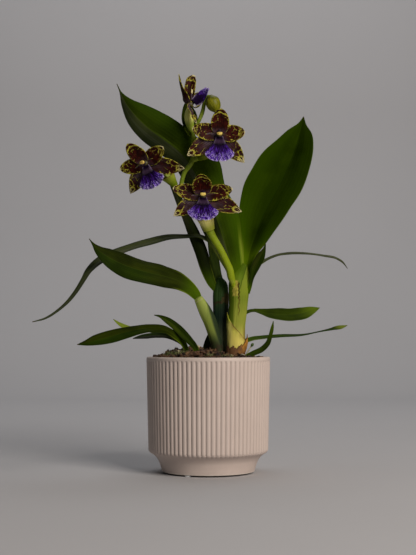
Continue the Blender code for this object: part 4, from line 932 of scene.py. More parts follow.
def leaf_paint(name, left, right, rib, margin, sheen, foot, tip=None):
    """A leaf's skin on its own surface: a tone for each half, clouds along it, its veins and its margin.

    foot holds the foot's tone and the shares of the length between which it fades; then whether the left
    half turns from the light, and how much painted light brightens each half toward its margin. A turned
    leaf gets painted sheen in streaks on its left half, a painted highlight beside its rib, and painted
    light on its right half where the blooms shade it. tip, where a leaf is young, holds the share of the
    length where it grows paler, and the tone there."""
    paint, place, uv = new_paint(name, IOR=1.45, Specular_IOR_Level=sheen)
    u, v, w = uv.split()
    s = u * 2 - 1
    side = abs(s)
    foot_tone, foot_low, foot_high, turns, painted_light_left, painted_light_right = foot
    clouds = uv.stretch(5.0, 3.0, 1.0).noise(1.0, 3.0)
    patch = place.noise(32.0, 3.0)
    fine = uv.stretch(120.0, 5.0, 1.0).noise(1.0, 2.0)
    veins = (side * (2 * math.pi * VEINS)).cosine()
    foot_share = v.fade(foot_low, foot_high)
    line = side.fade(0.008, 0.030)
    left_tone = v.step(0.35, 0.60).blend(right, left)
    # On a blade whose left half turns from the light, its left tone reaches down to the foot, and a painted
    # highlight runs beside the rib.
    if turns:
        left_tone = v.step(0.35, 0.60).most(v.fade(0.20, 0.30)).blend(right, left)
        foot_share = foot_share * s.step(-0.30, -0.10)
        line = line.most(s.near(0.05, 0.012, 0.035) * v.step(0.42, 0.52) * v.fade(0.68, 0.80))
    body = s.step(-0.05, 0.05).blend(left_tone, right)
    if turns:
        # Painted light on the right half, where the blooms cast shadow on it.
        body = (v.step(0.16, 0.30) * v.fade(0.50, 0.72) * s.step(-0.1, 0.0) * 0.7).blend(body, PAINTED_LIGHT_UNDER_BLOOMS)
        # Streaks of painted sheen on the left half.
        sheen_streaks = (clouds + fine * 0.2).step(0.56, 0.72) * s.near(-0.30, 0.15, 0.45)
        body = (sheen_streaks * 0.7).blend(body, PAINTED_SHEEN)
    deep = body.tinted((0.45, 0.45, 0.5))
    light = body.tinted((1.7, 1.55, 1.3))
    # Painted light: by each half's share, a lit green brightens it toward its margin, and its margin darkens
    # less.
    painted_light_share = s.step(-0.1, 0.1) * (painted_light_right - painted_light_left) + painted_light_left
    body = (clouds.step(0.35, 0.62) * 0.8).blend(light, body)
    body = (patch.step(0.42, 0.70) * 0.6).blend(body, deep)
    body = (side.step(0.35, 1.0) * (0.55 - painted_light_share * 0.55)).blend(body, deep)
    body = (side.step(0.15, 0.90) * painted_light_share * 0.8).blend(body, v.step(0.25, 0.55).blend(*PAINTED_LIGHT_GREENS))
    body = (veins.step(0.7, 1.0) * 0.10).blend(body, rib)
    body = (fine.step(0.55, 0.8) * 0.12).blend(body, rib)
    body = (foot_share * 0.85).blend(body, foot_tone)
    if turns:
        fold = (s - v * 0.3).near(0.80, 0.04, 0.12) * v.fade(0.15, 0.24)
        body = (fold * 0.75).blend(body, (0.130, 0.190, 0.014))
    body = (line * 0.8).blend(body, rib)
    body = (side.step(0.965, 0.99) * 0.7).blend(body, margin)
    low_hem = (side + v * 0.4).step(0.88, 0.94) * v.fade(0.10, 0.30)
    body = (low_hem * 0.6).blend(body, (0.200, 0.260, 0.020))
    if tip:
        paler, tip_tone = tip
        body = (v.step(paler, 0.96) * 0.85).blend(body, tip_tone)
    body = (v.step(0.985, 1.0) * 0.7).blend(body, (0.07, 0.045, 0.01))
    rough = 0.42 + patch * 0.16 + fine * 0.10
    return coat(paint, body, rough, veins * 0.4 + fine * 0.6 + line * -0.8, 0.10)


DEEP = (0.0100, 0.0215, 0.0004)
DARK = (0.0090, 0.0150, 0.0010)
BRIGHT = (0.0150, 0.0340, 0.0003)
FRESH = (0.0190, 0.0340, 0.0012)
OLIVE = (0.0130, 0.0200, 0.0012)
# The grey green below is dark green greyed by painted sheen, the reflection on a turned blade's left half.
SHEEN_GREY_GREEN = (0.0400, 0.0540, 0.0200)
DULL = (0.0210, 0.0250, 0.0100)
GREEN_FOOT = (0.055, 0.105, 0.001)
# The pale foot below is also raised as painted light, for the foot of the large right leaf that sits in
# shade.
PALE_LIT_FOOT = (0.120, 0.205, 0.003)
# Painted light for a turned blade's right half, where the blooms shade it.
PAINTED_LIGHT_UNDER_BLOOMS = (0.030, 0.058, 0.001)
# Painted sheen for those streaks.
PAINTED_SHEEN = (0.085, 0.100, 0.052)
# Painted light: the lit greens low and high on a blade.
PAINTED_LIGHT_GREENS = ((0.034, 0.074, 0.0006), (0.020, 0.042, 0.0006))
# The foot's tone and where it fades, whether the left half turns from the light, and how much painted light
# each half gets toward its margin.
PLAIN_FOOT = (GREEN_FOOT, 0.06, 0.24, False, 0.0, 0.0)
FEET = {
    "leaf_large_right": (PALE_LIT_FOOT, 0.07, 0.28, False, 1.0, 0.7),
    "leaf_back_left": (GREEN_FOOT, 0.05, 0.19, True, 0.0, 1.0),
}
# Where a young leaf's paler tip begins, and its tone.
TIPS = {
    "leaf_low_right": (0.80, (0.095, 0.145, 0.005)), "leaf_lowest_right": (0.86, (0.150, 0.185, 0.020)),
    "leaf_hidden_left": (0.50, (0.200, 0.260, 0.025)), "leaf_short_right": (0.55, (0.045, 0.075, 0.003)),
}
# Each leaf's tones at its left and right, rib and margin; how shiny it is; its waves, ripple and pleat.
LEAF_LOOKS = {
    "leaf_back_left": (SHEEN_GREY_GREEN, (0.0125, 0.0235, 0.0004), (0.050, 0.080, 0.006), (0.018, 0.030, 0.002),
                       0.01, 3, 1.4, 0.04),
    "leaf_large_right": (DEEP, DEEP, (0.008, 0.018, 0.001), (0.050, 0.085, 0.006), 0.0, 2.5, 1.0, 0.05),
    "leaf_small_right": (OLIVE, DEEP, (0.030, 0.050, 0.003), (0.040, 0.070, 0.006), 0.03, 1, 0.2, 0.05),
    "leaf_arching_right": ((0.060, 0.070, 0.036), (0.034, 0.042, 0.012), (0.030, 0.040, 0.012),
                           (0.020, 0.032, 0.005), 0.04, 3, 0.4, 0.03),
    "leaf_long_left": ((0.044, 0.052, 0.024), (0.026, 0.034, 0.011), (0.030, 0.040, 0.012),
                       (0.020, 0.034, 0.006), 0.04, 5, 0.6, 0.05),
    "leaf_middle_left": (DEEP, OLIVE, (0.030, 0.050, 0.003), (0.025, 0.042, 0.003), 0.04, 3, 0.9, 0.06),
    "leaf_strap_dark": (DULL, DARK, (0.018, 0.026, 0.006), (0.014, 0.024, 0.003), 0.05, 2, 0.3, 0.08),
    # The green strap stands in the shade of the leaves in front, so its tones are raised far as painted
    # light.
    "leaf_strap_green": ((0.170, 0.260, 0.040), (0.120, 0.200, 0.040), (0.200, 0.280, 0.040),
                         (0.030, 0.055, 0.004), 0.03, 2, 0.2, 0.05),
    "leaf_low_right": (FRESH, FRESH, (0.050, 0.080, 0.006), (0.070, 0.110, 0.005), 0.03, 2, 0.5, 0.10),
    "leaf_lowest_right": (DEEP, BRIGHT, (0.030, 0.050, 0.004), (0.020, 0.040, 0.003), 0.03, 3, 0.3, 0.03),
    "leaf_short_right": (DEEP, FRESH, (0.045, 0.075, 0.006), (0.036, 0.064, 0.004), 0.03, 2, 0.3, 0.03),
    "leaf_forward_left": (DEEP, OLIVE, (0.030, 0.050, 0.004), (0.024, 0.042, 0.003), 0.01, 3, 0.8, 0.10),
    "leaf_under_left": (DULL, DEEP, (0.026, 0.040, 0.006), (0.020, 0.034, 0.004), 0.04, 2, 0.3, 0.05),
    "leaf_short_left": (FRESH, DEEP, (0.036, 0.056, 0.004), (0.030, 0.050, 0.004), 0.03, 2, 0.3, 0.05),
    "leaf_hidden_left": (FRESH, FRESH, (0.080, 0.110, 0.010), (0.090, 0.120, 0.012), 0.03, 2, 0.2, 0.05),
    "leaf_stub_behind": (DEEP, DARK, (0.020, 0.034, 0.004), (0.014, 0.028, 0.003), 0.03, 1, 0.2, 0.05),
}
for name, (slot, fold, stations) in LEAVES.items():
    left, right, rib, margin, sheen, waves, ripple, pleat = LEAF_LOOKS[name]
    skin = leaf_paint(name + "_skin", left, right, rib, margin, sheen, FEET.get(name, PLAIN_FOOT),
                      TIPS.get(name))
    blade = blade_grid(stations, fold, *LEAF_MESH, leaf_relief(waves, ripple, pleat))
    add_piece(name + "_blade", build_mesh([blade]), skin, [name], LEAF_WALL)


# The flower stem leans up out of the main growth and zigzags from node to node. At each node a thick
# stalk branches off, which is the bloom's long ovary: pale green, six-grooved and a little twisted.
# Stations of x, y, z and radius.
STEM = (
    (29, -6.5, 194.5, 2.3), (27.4, -8.4, 203.5, 2.8), (24.9, -10.6, 211.5, 4), (23.2, -12, 219.5, 4.1),
    (19.6, -14, 228, 3.9), (13.1, -17, 241, 3.9), (5.4, -20, 253.7, 4.1), (-1.2, -22.5, 266.6, 4.4),
    (-6, -23.8, 275.6, 2.8), (-12.2, -25.5, 285.6, 2.4), (-21, -28, 294.6, 2.4), (-28.5, -30, 305.6, 2.5),
    (-26.6, -31, 320.6, 2.3), (-17, -32, 336.6, 2.6), (-15.9, -33, 352.6, 2.3), (-16.4, -33, 370.6, 2.3),
)
OVARIES = {
    "lower": ((-1, -22, 265.6, 3), (-1.2, -30, 275.6, 3), (-3.4, -39, 286.6, 2.8),
              (-5.6, -46.6, 295.2, 2.6)),
    "left": ((-25, -29, 299.6, 2.2), (-35, -32.5, 308, 2.6), (-43, -37, 318, 2.8),
             (-54, -42, 328.6, 2.8), (-62, -47.6, 333.6, 2.7), (-65, -54.4, 331.2, 2.6)),
    "right": ((-17, -32, 336, 2.3), (-11, -33.3, 338.2, 2.5), (-2, -36.6, 342, 2.8),
              (7, -41, 350.6, 2.8), (11.4, -48.6, 359.6, 2.6)),
    "top": ((-16.4, -33, 366.6, 2.3), (-19.6, -34, 375, 4.2), (-21.2, -36, 384, 4.2),
            (-20, -39.6, 392.4, 2.4)),
    "bud": ((-16, -33, 367.6, 2), (-12.2, -34, 374.6, 1.9), (-6.4, -36, 387.6, 1.8),
            (-3.8, -39.4, 398.2, 1.7), (-1.4, -42, 403.2, 1.7), (1, -43.2, 403.4, 1.6)),
}
NODES = (0.42, 0.60, 0.78)      # rings on the stem, as shares of its length
NODE_RISE = 0.35
STEM_MESH = (170, 36)           # rows along a stalk and sides round it
OVARY_MESH = (60, 36)
STEM_KIND = 0
OVARY_KIND = 1
TOP_OVARY_KIND = 2


def stem_swell(count, sides):
    """A low ring at each node, a bell curve along the stem, and nine faint ribs that wind up it."""
    v, turn = tube_places(count, sides)
    rings = sum(NODE_RISE * np.exp(-((v - node) / 0.008) ** 2) for node in NODES)
    return rings + 0.06 * np.cos(9 * turn + 4 * v)


def ovary_swell(count, sides):
    """Six grooves that twist a quarter turn along the stalk and fade out toward its foot."""
    v, turn = tube_places(count, sides)
    return ramp(v, 0.15, 0.5) * (0.22 * np.cos(6 * turn + 1.6 * v) + 0.15 * np.sin(math.pi * v))


def stalk_paint():
    """Stem and ovaries: yellow green with fine lines along them, the ovaries creamier toward the bloom, the
    top one paler still in painted light.
    """
    paint, place, uv = new_paint("flower_stalk", IOR=1.42, Specular_IOR_Level=0.15)
    u, v, w = uv.split()
    x, y, z = place.millimetres()
    kind = place.kind()
    lines = uv.stretch(46.0, 2.0, 1.0).noise(1.0, 3.0)
    cloud = place.noise(120.0, 3.0)
    stem = z.step(225, 265).blend((0.220, 0.285, 0.008), (0.185, 0.250, 0.009))
    stem = z.step(275, 310).blend(stem, (0.150, 0.210, 0.012))
    ovary = v.step(0.25, 0.95).blend((0.240, 0.310, 0.030), (0.400, 0.430, 0.110))
    # Painted light on the upper part of the top ovary, kind 2, where the hanging sepal shades it.
    ovary = (kind.step(1.4, 1.6) * v.step(0.30, 0.60)).blend(ovary, (0.720, 0.740, 0.200))
    body = kind.step(0.4, 0.6).blend(stem, ovary)
    body = (lines.step(0.5, 0.75) * 0.3).blend(body, (0.10, 0.15, 0.012))
    body = (cloud.step(0.55, 0.7) * 0.25).blend(body, (0.30, 0.33, 0.08))
    return coat(paint, body, 0.38 + cloud * 0.18, lines, 0.15)


spike_grids = [tube_grid(STEM, *STEM_MESH, stem_swell(*STEM_MESH))]
spike_kinds = [STEM_KIND]
for name, stations in OVARIES.items():
    spike_grids.append(tube_grid(stations, *OVARY_MESH, ovary_swell(*OVARY_MESH)))
    spike_kinds.append({"top": TOP_OVARY_KIND, "bud": STEM_KIND}.get(name, OVARY_KIND))
spike_mesh = build_mesh(spike_grids, wrap=True, closed=True, kinds=spike_kinds)
add_piece("spike_stem", spike_mesh, stalk_paint(), ["spike"])


# Papery bracts cup the stalks at the nodes, tan and dry at their edges. Behind the top bloom stands a
# green one, shaped like a boat.
CUP_WALL = 0.5
BOAT_FOLD = 26
BOAT_MESH = (60, 30)
# Each cup's foot and mouth as x, y, z and radius, and how far its rim is lifted on one side.
FUNNELS = {
    "bract_lower": ((0.9, -21.6, 262.4, 6.0), (-3.2, -26.6, 276.1, 9.0), 1.5),
    "bract_left": ((-35.6, -32.8, 308.8, 3.4), (-43.4, -37.0, 318.6, 7.2), -1.0),
    "bract_right": ((-10.4, -33.5, 338.4, 3.3), (-2.2, -36.5, 341.9, 5.0), 0.8),
}
# Stations as a leaf has them.
BOAT = ((-18.6, -28.6, 363, 2.4, 2.4, 0), (-19.4, -27, 371, 7, 7, 0), (-20, -25.8, 380, 9.4, 9.4, 0),
        (-21, -26, 389, 8.6, 8, 0), (-22.5, -27.6, 396, 5.6, 4.4, 0), (-24, -29, 402, 0.3, 0.3, 0))


def funnel_grid(foot, mouth, lift, seed):
    """A funnel round a stalk: its radius grows by t to the 1.2, and its ragged rim is lifted on one side."""
    low, high = np.array(foot, float), np.array(mouth, float)
    axis = unit(high[:3] - low[:3])
    across = unit(np.cross(axis, (0.0, -1.0, 0.0)))
    turn = ring(72)[None, :, None]
    outward = np.cos(turn) * across + np.sin(turn) * np.cross(across, axis)
    t = np.linspace(0, 1, 20)[:, None, None]
    spot = np.concatenate([4 * outward + 0 * t, 3 * t + 0 * turn], axis=-1)
    ragged = 0.35 * lumps(spot, 1.4, seed)[..., None]
    radius = low[3] + (high[3] - low[3]) * t**1.2 + ragged * t
    middle = low[:3] + (high[:3] - low[:3]) * t
    return middle + radius * outward + (lift * t * np.cos(turn) + ragged * t**4) * axis


def bract_paint(name, foot, top):
    """Fading bract: a tone near its foot and a paler one above, ribbed, brown at its torn rim."""
    paint, place, uv = new_paint(name, IOR=1.4, Specular_IOR_Level=0.06)
    u, v, w = uv.split()
    ribs = uv.stretch(40.0, 1.5, 1.0).noise(1.0, 3.0)
    cloud = place.noise(240.0, 3.0)
    body = v.step(0.1, 0.8).blend(foot, top)
    body = (ribs.step(0.5, 0.7) * 0.3).blend(body, (0.120, 0.160, 0.015))
    body = (cloud.step(0.52, 0.72) * 0.25).blend(body, (0.330, 0.270, 0.080))
    body = (v.step(0.92, 0.99) * 0.6).blend(body, (0.200, 0.110, 0.040))
    return coat(paint, body, 0.55 + cloud * 0.2, ribs, 0.2)


green_bract = bract_paint("green_bract_skin", (0.110, 0.160, 0.004), (0.210, 0.260, 0.020))
# The lower bract's pale tones are raised further as painted light, where the lip shades it.
pale_bract = bract_paint("pale_bract_skin", (0.300, 0.330, 0.040), (0.760, 0.700, 0.230))
for number, (name, funnel) in enumerate(FUNNELS.items()):
    bract = pale_bract if name == "bract_lower" else green_bract
    cup = build_mesh([funnel_grid(*funnel, 31 + number)], wrap=True)
    add_piece(name + "_cup", cup, bract, [name], CUP_WALL)
boat_paint = leaf_paint("boat_skin", (0.090, 0.150, 0.004), DEEP, (0.040, 0.070, 0.008), FRESH, 0.03,
                        (GREEN_FOOT, 0.06, 0.24, True, 0.0, 0.0))
boat = blade_grid(BOAT, BOAT_FOLD, *BOAT_MESH, leaf_relief(waves=2, ripple=0.3, pleat=0.15))
add_piece("bract_top_boat", build_mesh([boat]), boat_paint, ["bract_top"], LEAF_WALL)


# Each bloom has three sepals and two petals much alike: waxy, maroon, edged and barred in yellow green.
# They meet in a small heart at the end of the ovary. The top bloom is seen from its side.
HEART = 3.2
TIP_SHARPNESS = (0.5, 0.55, 0.55, 0.8, 0.8)    # blunt dorsal sepal and petals, pointed lower sepals
# The centre, the way the bloom faces, its up side, and for each of the five the angle round the face,
# the length, the half width, and the forward tilt at the base and the tip; then the lip's radius, half
# spread in degrees and forward reach.
BLOOMS = {
    "lower": ((-5.6, -50, 295.5), (0.0, -1.0, 0.05), (0.0, 0.05, 1.0), (
        (96, 27, 9.4, 28, 62), (166, 32, 7.6, 2, 12), (13, 31, 7.6, 2, 10),
        (214.5, 36.5, 8.0, -3, 4), (-22.5, 43, 8.4, -3, 4)), (27.5, 43.5, 6.0)),
    "left": ((-66.0, -58, 329.2), (-0.28, -0.87, -0.40), (-0.48, -0.23, 0.85), (
        (97, 28, 8.2, 10, 30), (166, 28, 7.6, 2, 12), (14, 28, 7.8, 2, 12),
        (213, 38, 7.8, -3, 4), (-33, 42, 8.2, -3, 4)), (26.5, 41.5, 6.0)),
    "right": ((11.6, -52, 360.2), (0.03, -1.0, 0.0), (0.0, 0.0, 1.0), (
        (87, 27.5, 8.8, 14, 36), (167, 28.5, 8.2, 2, 10), (6, 26.5, 8.2, 2, 10),
        (213, 39.5, 8.8, -3, 4), (-48, 38.5, 8.2, -3, 4)), (29.5, 37.5, 6.0)),
}
TOP_HEART = (-19.1, -41.0, 395.1)
# The dorsal sepal seen from behind, the far petal, the sepal behind the lip, the hanging sepal and the
# near petal, as stations of x, y, z, half widths and roll.
TOP_TEPALS = (
    ((-19.2, -41, 395, 3, 3, -125), (-24, -42, 400, 5.6, 6.5, -122), (-27.5, -41, 407, 7, 7, -108),
     (-30, -39.5, 415, 6, 6, -92), (-31.3, -38, 423, 3.6, 3.6, -80), (-31.6, -37, 429, 0.3, 0.3, -75)),
    ((-18.9, -40.5, 396, 2.6, 2.6, 10), (-19.4, -38, 404, 5.4, 5, 10), (-19.6, -36, 411.4, 6.2, 6, 10),
     (-18.9, -34.5, 417.7, 6.2, 5.8, 10), (-17.3, -33, 424, 5.4, 4.6, 10), (-15, -32.5, 428.6, 1.6, 1.2, 10)),
    ((-18.4, -39.8, 396, 2.4, 2.4, 0), (-15.3, -36, 401, 3.8, 3.8, 0), (-12.7, -34, 405, 3.8, 3.8, 0),
     (-10, -33, 407.6, 2.8, 2.8, 0), (-7.9, -32.5, 409, 1.6, 1.6, 0), (-6.2, -32, 409.7, 0.3, 0.3, 0)),
    ((-19.4, -42, 394, 2.6, 2.6, 50), (-20.4, -46.5, 390.5, 4.6, 4.6, 60),
     (-19.1, -48.5, 386, 5.2, 5.2, 68), (-16.7, -49.5, 381.3, 5, 5, 68),
     (-14.6, -49.5, 376.6, 3.2, 3.2, 60), (-12.8, -49, 373.2, 0.3, 0.3, 50)),
    ((-18.6, -41.6, 394, 2.2, 2.2, 70), (-14.2, -43, 391, 4.2, 4.2, 78), (-10.5, -43, 392.2, 4.2, 4.2, 80),
     (-7.6, -42.5, 395.8, 0.3, 0.3, 80)),
)
TEPAL_WALL = 0.55
TEPAL_FOLD = 9
TEPAL_MESH = (44, 26)


def bloom_frame(out, up):
    """Rows for a bloom's own X, Y and Z, where it faces its own -Y and its dorsal sepal stands along Z."""
    out = unit(np.array(out, float))
    up = unit(np.array(up, float) - out * np.dot(out, up))
    return np.stack([np.cross(up, out), -out, up])


def placed(grid, centre, axes):
    """A grid in a bloom's own axes, taken to its place on the plant."""
    return np.array(centre) + grid @ axes


def tepal_stations(angle, length, half_width, tilt_base, tilt_tip, sharpness):
    """Stations of one tepal: its path leans forward step by step, and its width swells, then tapers.

    The width is a sine along the tepal, raised to its tip's sharpness, over a narrow foot."""
    steps = 18
    turn = math.radians(angle)
    rows, radial, forward = [], 1.2, 0.0
    for k in range(steps + 1):
        t = k / steps
        width = half_width * (0.34 * (1 - t) ** 1.5 + math.sin(math.pi * t**0.98) ** sharpness)
        rows.append((radial * math.cos(turn), -forward, radial * math.sin(turn), width, width, 0.0))
        tilt = math.radians(tilt_base + (tilt_tip - tilt_base) * (t + 0.5 / steps))
        radial += length / steps * math.cos(tilt)
        forward += length / steps * math.sin(tilt)
    return rows


def tepal_relief(seed):
    """A shallow cup, s squared, with the margin waved and the tip turned, a little unlike on each tepal."""
    draw = np.random.default_rng(seed)
    cup, phase, roll = draw.uniform(0.2, 0.9), draw.uniform(0, 6.28), draw.uniform(-0.5, 0.5)

    def relief(s, v, half):
        swell = np.sin(math.pi * v)
        wave = 0.45 * np.sin(2 * math.pi * 2.5 * v + phase + 1.5 * s) * np.abs(s) ** 3
        return swell * (cup * s**2 + wave) + 0.12 * np.cos(9 * math.pi * s) * swell + roll * s * v**3
    return relief


def ball_grid(centre, radii, rows=16, sides=28):
    """An ellipsoid from its lowest point to its highest."""
    up = np.linspace(-math.pi / 2, math.pi / 2, rows)[:, None]
    turn = ring(sides)[None, :]
    level = np.maximum(np.cos(up), 0) * (np.abs(up) < 1.57)
    points = np.stack([level * np.cos(turn), level * np.sin(turn), np.sin(up) + 0 * turn], axis=-1)
    return np.array(centre) + points * np.array(radii)


def tepal_paint(name, seed):
    """Maroon, with a worn yellow-green margin and broken bars and net lines toward the tip.

    kind is the tepal's number in its bloom: on the open ones 0 is the dorsal sepal, 1 and 2 the petals,
    and 3 and 4 the lower sepals. The last two are lilac grey near the lip, and end in a ringed spot and a
    cream tip."""
    paint, place, uv = new_paint(name, IOR=1.42, Specular_IOR_Level=0.1)
    u, v, w = uv.split()
    s = u * 2 - 1
    side = abs(s)
    kind = place.kind()
    dorsal = kind.fade(0.2, 0.4)
    lower = kind.step(2.4, 2.6)
    field = s.node("ShaderNodeCombineXYZ", {0: s * 1.3, 1: v * 4.2, 2: kind * 3.7 + seed})
    ragged = field.noise(5.5, 2.0)
    worn = field.noise(3.4, 1.0)
    broken = field.noise(2.1, 1.0)
    # The net: the walls of bent cells, wider and less broken toward the tip and the margins.
    shake = field.node("ShaderNodeTexNoise", {"Vector": field, "Scale": 1.7, "Detail": 2.0}, "Color")
    bent = shake.node("ShaderNodeVectorMath", {0: shake, 1: (0.7, 0.7, 0.0), 2: field},
                      operation="MULTIPLY_ADD")
    from_wall = bent.node("ShaderNodeTexVoronoi", {"Vector": bent, "Scale": 1.0, "Randomness": 0.95},
                          feature="DISTANCE_TO_EDGE")
    outward = (v.step(0.30, 0.85) * 0.9).most(side.step(0.45, 1.0) * v.step(0.12, 0.4))
    net = (from_wall - outward * 0.050).fade(-0.008, 0.016) * outward.step(0.10, 0.40)
    net = net * (broken + outward * 0.08).step(0.49, 0.56) * (1 - dorsal * v.step(0.62, 0.74))
    teeth = (side + v.step(0.15, 0.5) * 0.08).step(0.88, 0.99)
    teeth = teeth * (v * 30 + ragged * 8).cosine().near(0.0, 0.40, 0.80)
    margin = (side + (worn - 0.5) * 0.22).step(0.950, 0.985) * worn.step(0.46, 0.54)
    from_spot = ((s * 0.60) ** 2.0 + ((v - 0.90) * 3.0) ** 2.0).root()
    spot_ring = (from_spot + (ragged - 0.5) * 0.30).near(0.36, 0.03, 0.09) * lower
    arch = (v + s * s * 0.12 + (ragged - 0.5) * 0.08 + (broken - 0.5) * 0.16).near(0.84, 0.024, 0.044)
    arch = arch * (1 - lower) * (1 - (1 - dorsal) * 0.7)
    tip = (v + (ragged - 0.5) * 0.05).step(0.945, 0.975)
    marks = net.most(margin).most(spot_ring.most(arch)).most(tip).most(teeth * 0.35)
    cloud = place.noise(260.0, 3.0)
    maroon = cloud.step(0.35, 0.70).blend((0.0150, 0.0024, 0.0012), (0.0500, 0.0062, 0.0028))
    grey = field.noise(1.3).step(0.3, 0.7).blend((0.110, 0.078, 0.098), (0.034, 0.017, 0.022))
    lilac = lower * v.fade(0.30, 0.78) * (0.90 - kind.step(3.4, 3.6) * 0.60)
    maroon = lilac.most((1 - lower) * v.fade(0.10, 0.30) * 0.45).blend(maroon, grey)
    veins = (s * 30.0 + ragged * 2).cosine()
    maroon = (veins.step(0.2, 1.0) * (0.25 + lilac * 0.5)).blend(maroon, (0.010, 0.0015, 0.0015))
    yellow = ragged.step(0.30, 0.70).blend((0.300, 0.280, 0.015), (0.480, 0.430, 0.060))
    cream = (lower * v.step(0.78, 0.95)).most(kind.step(0.4, 0.6) * v.step(0.90, 0.99))
    yellow = cream.blend(yellow, (0.640, 0.570, 0.300))
    body = (marks * 0.95).blend(maroon, yellow)
    return coat(paint, body, 0.40 + cloud * 0.18, veins * 0.5 + marks * 0.3, 0.10)


def add_tepals(name, centre, axes, tepals, seed):
    """One bloom's tepals as one piece, set round its centre in its own axes."""
    grids = []
    for number, stations in enumerate(tepals):
        blade = blade_grid(stations, TEPAL_FOLD, *TEPAL_MESH, tepal_relief(seed * 10 + number))
        grids.append(placed(blade, centre, axes))
    paint = tepal_paint(f"tepals_{name}_skin", seed * 1.37)
    add_piece(f"tepals_{name}_marked", build_mesh(grids), paint, ["tepals_" + name], TEPAL_WALL)


def heart_paint():
    """The heart where the tepals meet: dull green brown."""
    paint, place, uv = new_paint("heart_skin", IOR=1.42)
    cloud = place.noise(300.0)
    body = cloud.blend((0.07, 0.08, 0.02), (0.05, 0.02, 0.015))
    return coat(paint, body, 0.45 + cloud * 0.1, cloud, 0.1)


for seed, (name, (centre, out, up, tepals, lip)) in enumerate(BLOOMS.items(), 1):
    shapes = [tepal_stations(*tepal, sharpness) for tepal, sharpness in zip(tepals, TIP_SHARPNESS)]
    add_tepals(name, centre, bloom_frame(out, up), shapes, seed)
add_tepals("top", (0.0, 0.0, 0.0), np.eye(3), TOP_TEPALS, 5)

centres = {name: bloom[0] for name, bloom in BLOOMS.items()} | {"top": TOP_HEART}
heart = heart_paint()
for name, centre in centres.items():
    ball = build_mesh([ball_grid(centre, (HEART, HEART, HEART))], wrap=True, closed=True)
    add_piece(f"heart_{name}", ball, heart, ["tepals_" + name])


# The lip is a broad violet-blue fan, streaked dark purple from its narrow base, flecked white toward its
# ruffled pale rim, and downy. A ridged purple crest lies across its base, under the column.
LIP_FRONT = 3.15         # how far in front of the heart's middle the lip begins
CLAW = 2.2               # and how far below it
SHOULDER = 3.2           # how far its base reaches to each side
CREST_RIDGES = 9
CREST_HALF = 0.95        # the share of the lip's breadth that the crest spans
LIP_WALL = 0.5
CREST_WALL = 0.4
TOP_LIP = ((-15.2, -44.4, 396.6, 4.6, 4.8, 10), (-11.6, -44.6, 398.8, 6.2, 7.2, 20),
           (-7.3, -44.8, 402.6, 6.4, 7.4, 32), (-3.5, -44.8, 407.2, 6, 6.2, 44),
           (-0.3, -44.5, 411.6, 3.6, 3.6, 55))
TOP_LIP_FOLD = 12
TOP_LIP_MESH = (60, 60)
LIP_HAIRS = 200
HAIRLESS_ROWS = 14       # the hairs stand past this many rows of the lip's points


def lip_grid(radius, spread, reach, along, across, lift=0.0):
    """A fan from a narrow claw, for shares a along it and c across it.

    A point stands out a of the radius, turned by the spread times c. It is bulged forward by a sine of
    a, and ruffled by a squared times a cosine of c; the rim is notched at its middle and its sides."""
    a, c = along[:, None], across[None, :]
    turn = np.radians(spread) * c * (0.5 + 0.5 * a)
    notch = 1 - 0.05 * c**2 - 0.1 * c**8 - 0.03 * np.exp(-(c / 0.09) ** 2)
    out = CLAW + (radius * notch - CLAW) * a
    ruffle = 0.9 * a**2 * np.cos(9 * c) + 0.75 * a**7 * np.sin(26 * c + 1.0)
    forward = reach * np.sin(math.pi * 0.62 * a) + ruffle + lift
    sideways = out * np.sin(turn) + SHOULDER * c * (1 - a)
    return np.stack([sideways, -LIP_FRONT - forward, -0.2 - out * np.cos(turn)], axis=-1)


def crest_grid(radius, spread, reach):
    """The crest: a low cushion with a cosine of ridges over the lip's base, closed along its own edges."""
    along, across = np.linspace(0.06, 0.36, 16), np.linspace(-CREST_HALF, CREST_HALF, 60)
    hump = np.sin(math.pi * np.linspace(0, 1, 16))[:, None] ** 0.6 * (1 - (across / CREST_HALF)[None, :] ** 6)
    ridges = 1.1 + 0.45 * np.cos(across * math.pi * CREST_RIDGES)[None, :]
    return lip_grid(radius, spread, reach, along, across, 0.35 + hump * ridges)


def lip_paint(name, seed):
    """Dark purple from its base, violet blue outside, flecked white toward a thin pale rim."""
    paint, place, uv = new_paint(name, IOR=1.4, Specular_IOR_Level=0.05)
    u, v, w = uv.split()
    s = u * 2 - 1
    side = abs(s)
    rays = s.node("ShaderNodeCombineXYZ", {0: s * 8.0, 1: v * 3.0, 2: seed})
    streaks = rays.noise(1.6, 3.0)
    grains = rays.stretch(1.0, 2.4, 1.0).noise(3.2, 2.0)
    cells = rays.stretch(3.0, 7.2, 1.0)
    dots = cells.node("ShaderNodeTexVoronoi", {"Vector": cells, "Scale": 1.0, "Randomness": 1.0},
                      feature="F1")
    violet = streaks.step(0.35, 0.65).blend((0.027, 0.0055, 0.135), (0.082, 0.022, 0.340))
    dark = (v + side * 0.16 + (streaks - 0.5) * 1.5).fade(0.50, 0.92)
    body = dark.blend(violet, (0.007, 0.0015, 0.014))
    body = (grains.fade(0.40, 0.50) * v.fade(0.75, 0.95) * 0.6).blend(body, (0.012, 0.004, 0.045))
    flecks = dots.fade(0.26, 0.44) * (v + (streaks - 0.5) * 0.5).step(0.66, 0.84)
    body = (flecks * 0.85).blend(body, (0.640, 0.530, 0.950))
    shoulder = (side + (grains - 0.5) * 0.5).step(0.72, 0.95) * v.fade(0.18, 0.42)
    body = (shoulder * 0.65).blend(body, (0.320, 0.250, 0.400))
    rim = (v + (grains - 0.5) * 0.10).step(0.955, 0.985)
    body = (rim * 0.6).blend(body, (0.520, 0.440, 0.700))
    return coat(paint, body, 0.55 + streaks * 0.15, streaks + grains, 0.22)


